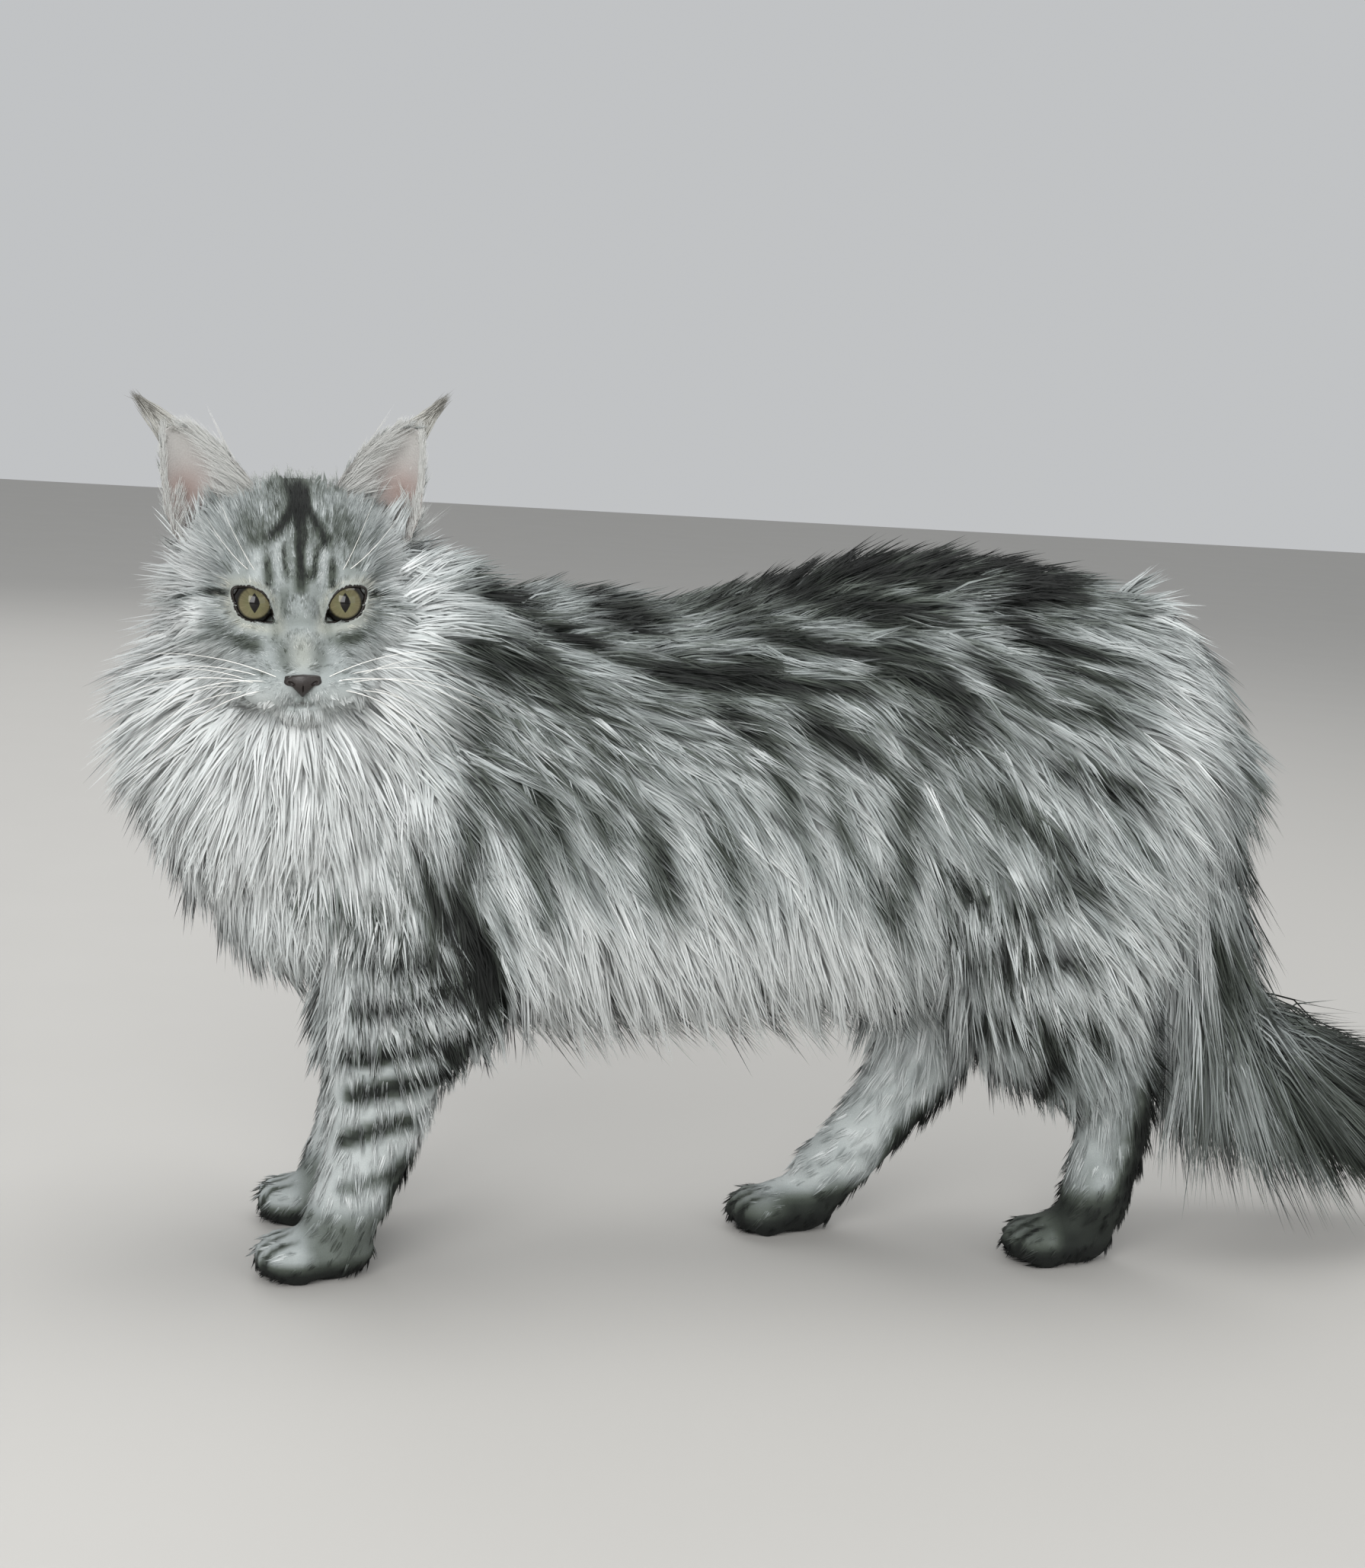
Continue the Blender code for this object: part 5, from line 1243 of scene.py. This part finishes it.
def unwrap(piece, faces, roots, normals):
    """Each blade's patch on the map OFBake, at its root's place: u is the distance along the
    piece's longest direction and v the angle round it, from the skin's normal and place."""
    span = np.ptp(roots, axis=0)
    long_axis = int(np.argmax(span))
    first, second = (k for k in range(3) if k != long_axis)
    offset = (roots - (roots.min(0) + roots.max(0)) / 2) / span
    angle = np.arctan2(normals[:, second] + offset[:, second], normals[:, first] + offset[:, first])
    u = MAP_EDGE + MAP_SPAN * (roots[:, long_axis] - roots[:, long_axis].min()) / span[long_axis]
    v = MAP_EDGE + MAP_SPAN * (angle / (2 * np.pi) + 0.5)
    place = np.repeat(np.column_stack([u, v]), BLADE_POINTS, 0)
    place += PATCH * np.tile(PATCH_CORNERS, (len(roots), 1))
    layer = piece.data.uv_layers.new(name="OFBake")
    layer.data.foreach_set("uv", place[faces.ravel()].astype(np.float32).ravel())


# Guard hair: smooth and a little glossy
coat_hair = hair_material("coat_hair", roughness=0.65, grain_strength=0.0)


def aimed(lie, normals, angle, length):
    """Steps of a length, lifted from the lie toward the normal by an angle."""
    return (lie * np.cos(angle)[:, None] + normals * np.sin(angle)[:, None]) * length[:, None]


def scaled(values, low, spread, rng):
    """The values times low plus an even random share of the spread."""
    return values * (low + spread * rng.random(len(values)))


# How hairs stray: droop of a tip for its length in cm, least height over the floor, spread of
# tips and bends as a share of the length, spread of darkness between locks and between hairs
DROOP, FLOOR_GAP = 0.035, 0.12
TIP_SPREAD, BEND_SPREAD = 0.03, 0.02
LOCK_DARKNESS, HAIR_DARKNESS = 0.16, 0.05
# How locks stray from the comb: spread of their turn, and the swing and size of its slow swirls
TURN_SPREAD, SWIRL, SWIRL_SIZE = 0.16, 0.5, 2.4


def grow(name, roots, normals, lie, length, lift, per_lock, width, rng, slot, clump=0.72,
         disc=0.3, feather=0.04, tint=None, skin_shade=1.0, depth=0.12):
    """One piece of coat: locks of hairs whose roots fill a small disc and whose tips draw
    together by clump, droop and stay off the floor. Each lock has its own darkness, and each
    hair takes the markings from a place a little up or down its lie, so that edges feather.
    A skin_shade above 0 turns the blades' shading toward the skin's, for a soft gloss."""
    def each(values):
        return np.repeat(values, per_lock, 0)

    locks, count = len(roots), len(roots) * per_lock
    out_normals, lies = each(normals), each(lie)
    radius = np.minimum(disc, 0.28 * length + 0.05)
    turn_angle = 2 * np.pi * rng.random(count)
    out = each(radius) * np.sqrt(rng.random(count))
    offset = lies * (out * np.cos(turn_angle))[:, None] * 1.3
    offset += each(np.cross(normals, lie)) * (out * np.sin(turn_angle))[:, None]
    own_length = scaled(each(length), 0.72, 0.33, rng)
    sink = np.minimum(depth, 0.2 * own_length)
    root = each(roots) + offset - out_normals * sink[:, None]
    own_lift = scaled(each(lift), 0.8, 0.4, rng)
    mid = root + aimed(lies, out_normals, own_lift * 1.25, own_length * 0.5)
    tip = mid + aimed(lies, out_normals, own_lift * 0.55, own_length * 0.5)
    lock_tip = each(roots) + aimed(lies, out_normals, each(lift) * 0.9, own_length * 0.97)
    draw = (clump * (0.75 + 0.25 * rng.random(count)))[:, None]
    tip = tip + (lock_tip - tip) * draw
    tip += rng.standard_normal((count, 3)) * (TIP_SPREAD * own_length)[:, None]
    tip[:, 2] -= DROOP * own_length ** 1.5
    mid += rng.standard_normal((count, 3)) * (BEND_SPREAD * own_length)[:, None]
    mid[:, 2] = np.maximum(mid[:, 2], FLOOR_GAP)
    tip[:, 2] = np.maximum(tip[:, 2], FLOOR_GAP)
    roll = 0.9 * rng.standard_normal(count)
    along = unit(tip - root)
    up = unit(out_normals - along * (along * out_normals).sum(1)[:, None])
    side = np.cross(up, along) * np.cos(roll)[:, None] + up * np.sin(roll)[:, None]
    up = np.cross(along, side)
    widths = width * (0.75 + 0.5 * rng.random(count))
    points, faces, share = blades(root, up, side, mid, tip, widths)
    stray = lies * (feather * own_length * rng.standard_normal(count))[:, None]
    tone, warmth = tones(points + np.repeat(stray, BLADE_POINTS, 0))
    lock_shade = each(LOCK_DARKNESS * rng.standard_normal(locks))
    lock_shade += HAIR_DARKNESS * rng.standard_normal(count)
    busy = 0.15 + 1.6 * tone * (1 - tone)
    tone = tone + np.repeat(lock_shade, BLADE_POINTS) * busy + 0.12 * (share - 0.4) * busy
    colours = coat_colour(np.clip(tone, 0, 1), warmth)
    # Painted shade: each hair is an eighth darker at its root, fading out by halfway, as the shade deep in
    # the coat
    colours *= (0.88 + 0.12 * ramp(share, 0.0, 0.5))[:, None]
    piece = triangle_mesh(name, points, faces)
    paint(piece.data, tint(share) if tint else colours)
    if skin_shade:
        shade_normals = unit(np.repeat(up * 0.3 + out_normals * skin_shade, BLADE_POINTS, 0))
        piece.data.normals_split_custom_set_from_vertices(shade_normals.tolist())
    unwrap(piece, faces, root, out_normals)
    piece.data.materials.append(coat_hair)
    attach(piece, "root")


def coat_piece(name, where, locks, per_lock, width, seed, slot, turned=1.0, **style):
    """A piece of coat over the part of the skin where the mask is true, lying as combed, with
    each lock turned and shortened a little at random."""
    rng = np.random.default_rng(seed)
    roots, normals = scatter(where.astype(float), locks, rng)
    lie, length, lift = combed(roots, normals)
    yaw = TURN_SPREAD * rng.standard_normal(locks)
    yaw += SWIRL * (lattice_noise(roots, SWIRL_SIZE, seed + 30) - 0.5)
    yaw *= turned
    lie = lie * np.cos(yaw)[:, None] + np.cross(normals, lie) * np.sin(yaw)[:, None]
    length = scaled(length, 0.8, 0.4, rng)
    lift = scaled(lift, 0.75, 0.5, rng)
    grow(name, roots, normals, lie, length, lift, per_lock, width, rng, slot, **style)


left, right_of_face = y < 0, across < 0
for half_name, half_face, seed in (("left", ~right_of_face, 1), ("right", right_of_face, 21)):
    coat_piece("coat_face_" + half_name, face & off_eyes & ~on_nose & half_face, locks=1900,
               per_lock=8, width=0.05, seed=seed, slot="coat_pale", turned=0.5, clump=0.5,
               disc=0.15, feather=0.14)
# Each piece: zone, locks, hairs in a lock, width, seed, slot, clump, radius of a lock
COAT = {
    "coat_mane_left": (mane & (y < -2.0), 1600, 11, 0.16, 2, "coat_white", 0.65, 0.5),
    "coat_mane_right": (mane & (y >= -2.0), 1000, 10, 0.17, 3, "coat_white", 0.65, 0.5),
    "coat_left_side": (side_of_trunk & left, 1950, 10, 0.13, 4, "coat_grey", 0.78, 0.36),
    "coat_right_side": (side_of_trunk & ~left, 1150, 10, 0.16, 5, "coat_grey", 0.78, 0.36),
    "coat_belly": (belly, 480, 11, 0.14, 6, "coat_white", 0.72, 0.3),
    "coat_hind_left": (hind & left, 1150, 11, 0.13, 7, "coat_grey", 0.78, 0.34),
    "coat_hind_right": (hind & ~left, 560, 11, 0.16, 8, "coat_grey", 0.78, 0.34),
    "coat_legs": (leg, 1900, 8, 0.075, 9, "coat_pale", 0.5, 0.2),
    "coat_tail": (tail_zone, 1250, 11, 0.14, 10, "coat_grey", 0.72, 0.4),
}
for name, (*growth, clump, disc) in COAT.items():
    coat_piece(name, *growth, clump=clump, disc=disc)

# Ears: short hair on their backs, a thin fringe round the edge, long white hair that sweeps out
# of the opening from its inner side, and the pointed tufts that stand on the tips.
ear_back = ear_like & ((normal_there @ FORWARD) < 0.12)


def ear_back_hair(share):
    """Grey at the root, pale at the tip."""
    return mixed("#9FA3A1", "#C3C5C2", share)


def white_hair(share):
    """Silvery white from root to tip."""
    return mixed("#A6A6A2", "#C4C5C2", share)


def tuft_hair(share):
    """Grey at the root, darker brownish grey at the tip."""
    return mixed("#B4B4AF", "#7B7870", ramp(share, 0.2, 1.0))


coat_piece("coat_ear_backs", ear_back, locks=420, per_lock=7, width=0.04, seed=11,
           slot="coat_pale", clump=0.4, disc=0.12, tint=ear_back_hair, skin_shade=0.0, depth=0.02)
rng = np.random.default_rng(12)


def ear_place(side, level, u, behind=0.0):
    """Points on an ear's front by level from root 0 to tip 1 and by u from inner edge -1 to
    outer edge 1, in body centimetres."""
    at = np.clip(level, 0, 1) * (len(ear_rows) - 1)
    row = np.column_stack([np.interp(at, np.arange(len(ear_rows)), ear_rows[:, k]) for k in range(7)])
    share = ((1 + u) / 2)[:, None]
    line = row[:, :3] * (1 - share) + row[:, 3:6] * share
    line[:, 2] -= row[:, 6] * (1 - u ** 2) + behind
    line[:, 0] *= side
    return from_head(line)


def laid(aim, normal):
    """The aim laid flat on a surface with that normal."""
    return unit(aim - normal * (aim * normal).sum(1)[:, None])


# Each kind: count, range of level, range of u, direction, range of length, lift in degrees
EAR_HAIRS = [
    (150, (0.20, 0.62), (-0.98, -0.72), (0.75, 0.55, 0.25), (2.0, 3.2), 16),
    (55, (0.16, 0.34), (-0.7, 0.0), (0.45, 0.85, 0.35), (1.4, 2.4), 26),
    (30, (0.24, 0.42), (0.6, 0.9), (-0.25, 0.9, 0.3), (0.8, 1.4), 20),
    (100, (0.5, 0.95), (-1.0, -0.9), (0.5, 0.85, 0.15), (0.5, 0.9), 14),
    (240, (0.16, 0.98), (0.88, 1.0), (0.1, 1.0, 0.1), (0.5, 0.9), 12),
    (60, (0.3, 0.92), (-0.8, 0.8), (0.3, 0.9, 0.1), (0.35, 0.6), 10),
]
inside_hairs = []
for side in (1.0, -1.0):
    for count, levels, us, direction, reach, lift_deg in EAR_HAIRS:
        level, u = rng.uniform(*levels, count), rng.uniform(*us, count)
        aim = np.array(direction) * (side, 1, 1) + 0.14 * rng.standard_normal((count, 3))
        normal = np.column_stack([-0.35 * u * side, np.zeros(count), np.ones(count)]) @ HEAD_AXES
        normal, aim = unit(normal), unit(aim @ HEAD_AXES)
        inside_hairs.append((ear_place(side, level, u), normal, laid(aim, normal),
                             rng.uniform(*reach, count),
                             np.radians(lift_deg) * rng.uniform(0.6, 1.3, count)))
grow("coat_ear_insides", *(np.concatenate(part) for part in zip(*inside_hairs)),
     per_lock=4, width=0.03, rng=rng, slot="coat_white", clump=0.5, disc=0.12, tint=white_hair,
     depth=0.03)

EAR_TIP, TUFTS = (5.9, 8.0, -5.3), 200
tuft_hairs = []
for side in (1.0, -1.0):
    level, u = rng.uniform(0.8, 1.0, TUFTS), rng.uniform(-1.0, 1.0, TUFTS)
    normal = np.tile(unit(np.array([0.2 * side, 0.0, 1.0]) @ HEAD_AXES), (TUFTS, 1))
    root = ear_place(side, level, u, 0.06)
    past_tip = np.array([0.66 * side, 0.7, 0.0]) * rng.uniform(1.0, 2.7, TUFTS)[:, None]
    end = from_head(np.array([EAR_TIP[0] * side, EAR_TIP[1], EAR_TIP[2]]) + past_tip)
    aim = unit(end - root + 0.03 * rng.standard_normal((TUFTS, 3)))
    tuft_hairs.append((root, normal, laid(aim, normal), np.linalg.norm(end - root, axis=1),
                       0.03 * rng.standard_normal(TUFTS)))
grow("coat_ear_tufts", *(np.concatenate(part) for part in zip(*tuft_hairs)),
     per_lock=5, width=0.1, rng=rng, slot="coat_grey", clump=0.5, disc=0.14, tint=tuft_hair,
     skin_shade=0.0, depth=0.03)

# Whiskers: long stiff white hairs from the pads and over the eyes, each a closed tapered tube
# along a curve that droops outward.
# Each row: root across, up, forward; tip across, up, forward; sag. The left side is mirrored
WHISKERS = [
    (1.45, -3.15, 1.9, 7.6, -2.2, -0.8, 0.5), (1.75, -3.3, 1.7, 8.6, -3.9, -1.2, 0.6),
    (1.3, -3.5, 2.0, 9.4, -6.2, 0.6, 1.0), (1.7, -3.65, 1.75, 9.8, -4.9, 0.2, 0.9),
    (2.1, -3.55, 1.4, 7.8, -3.0, -1.8, 0.5), (1.4, -3.85, 1.9, 8.0, -8.0, 0.9, 1.1),
    (1.8, -3.95, 1.6, 7.6, -6.4, -0.6, 0.8), (2.2, -3.9, 1.2, 6.6, -5.0, -1.6, 0.6),
    (1.95, 1.35, -0.8, 3.6, 5.0, 1.0, -0.3), (2.2, 1.4, -0.9, 4.8, 4.2, 0.8, -0.3),
]
WHISKER_RADIUS, WHISKER_RINGS, WHISKER_ROOT = 0.022, 22, 0.25
whisker_solids = []
for side in (1.0, -1.0):
    for row in WHISKERS:
        start, end, sag = np.array(row[:3]), np.array(row[3:6]), row[6]
        wobble = 0.25 * rng.standard_normal(3)
        t = np.linspace(0, 1, WHISKER_RINGS)[:, None]
        path = start + (end + wobble - start) * t + np.array([0, 1.0, 0.4]) * sag * 4 * t * (1 - t)
        path -= unit(path[1] - path[0]) * WHISKER_ROOT
        radius = WHISKER_RADIUS * (1 - 0.86 * t[:, 0])
        path[:, 0] *= side
        stations = np.column_stack([from_head(path), radius, radius])
        whisker_solids.append(limb(stations, steps=1, sides=6, across=(0.1, 0.2, 0.97)))
whiskers = face_outward(mesh_piece("whiskers", whisker_solids))
whiskers.data.shade_smooth()
# Whisker hair: white, smooth and a little glossy, as a thick hair is, and faintly banded
whisker_hair = flecked("whisker_hair", 0.3, "#D9D8D2", "#F2F1EC", roughness=0.35, gloss=0.5)
whiskers.data.materials.append(whisker_hair)
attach(whiskers, "root")
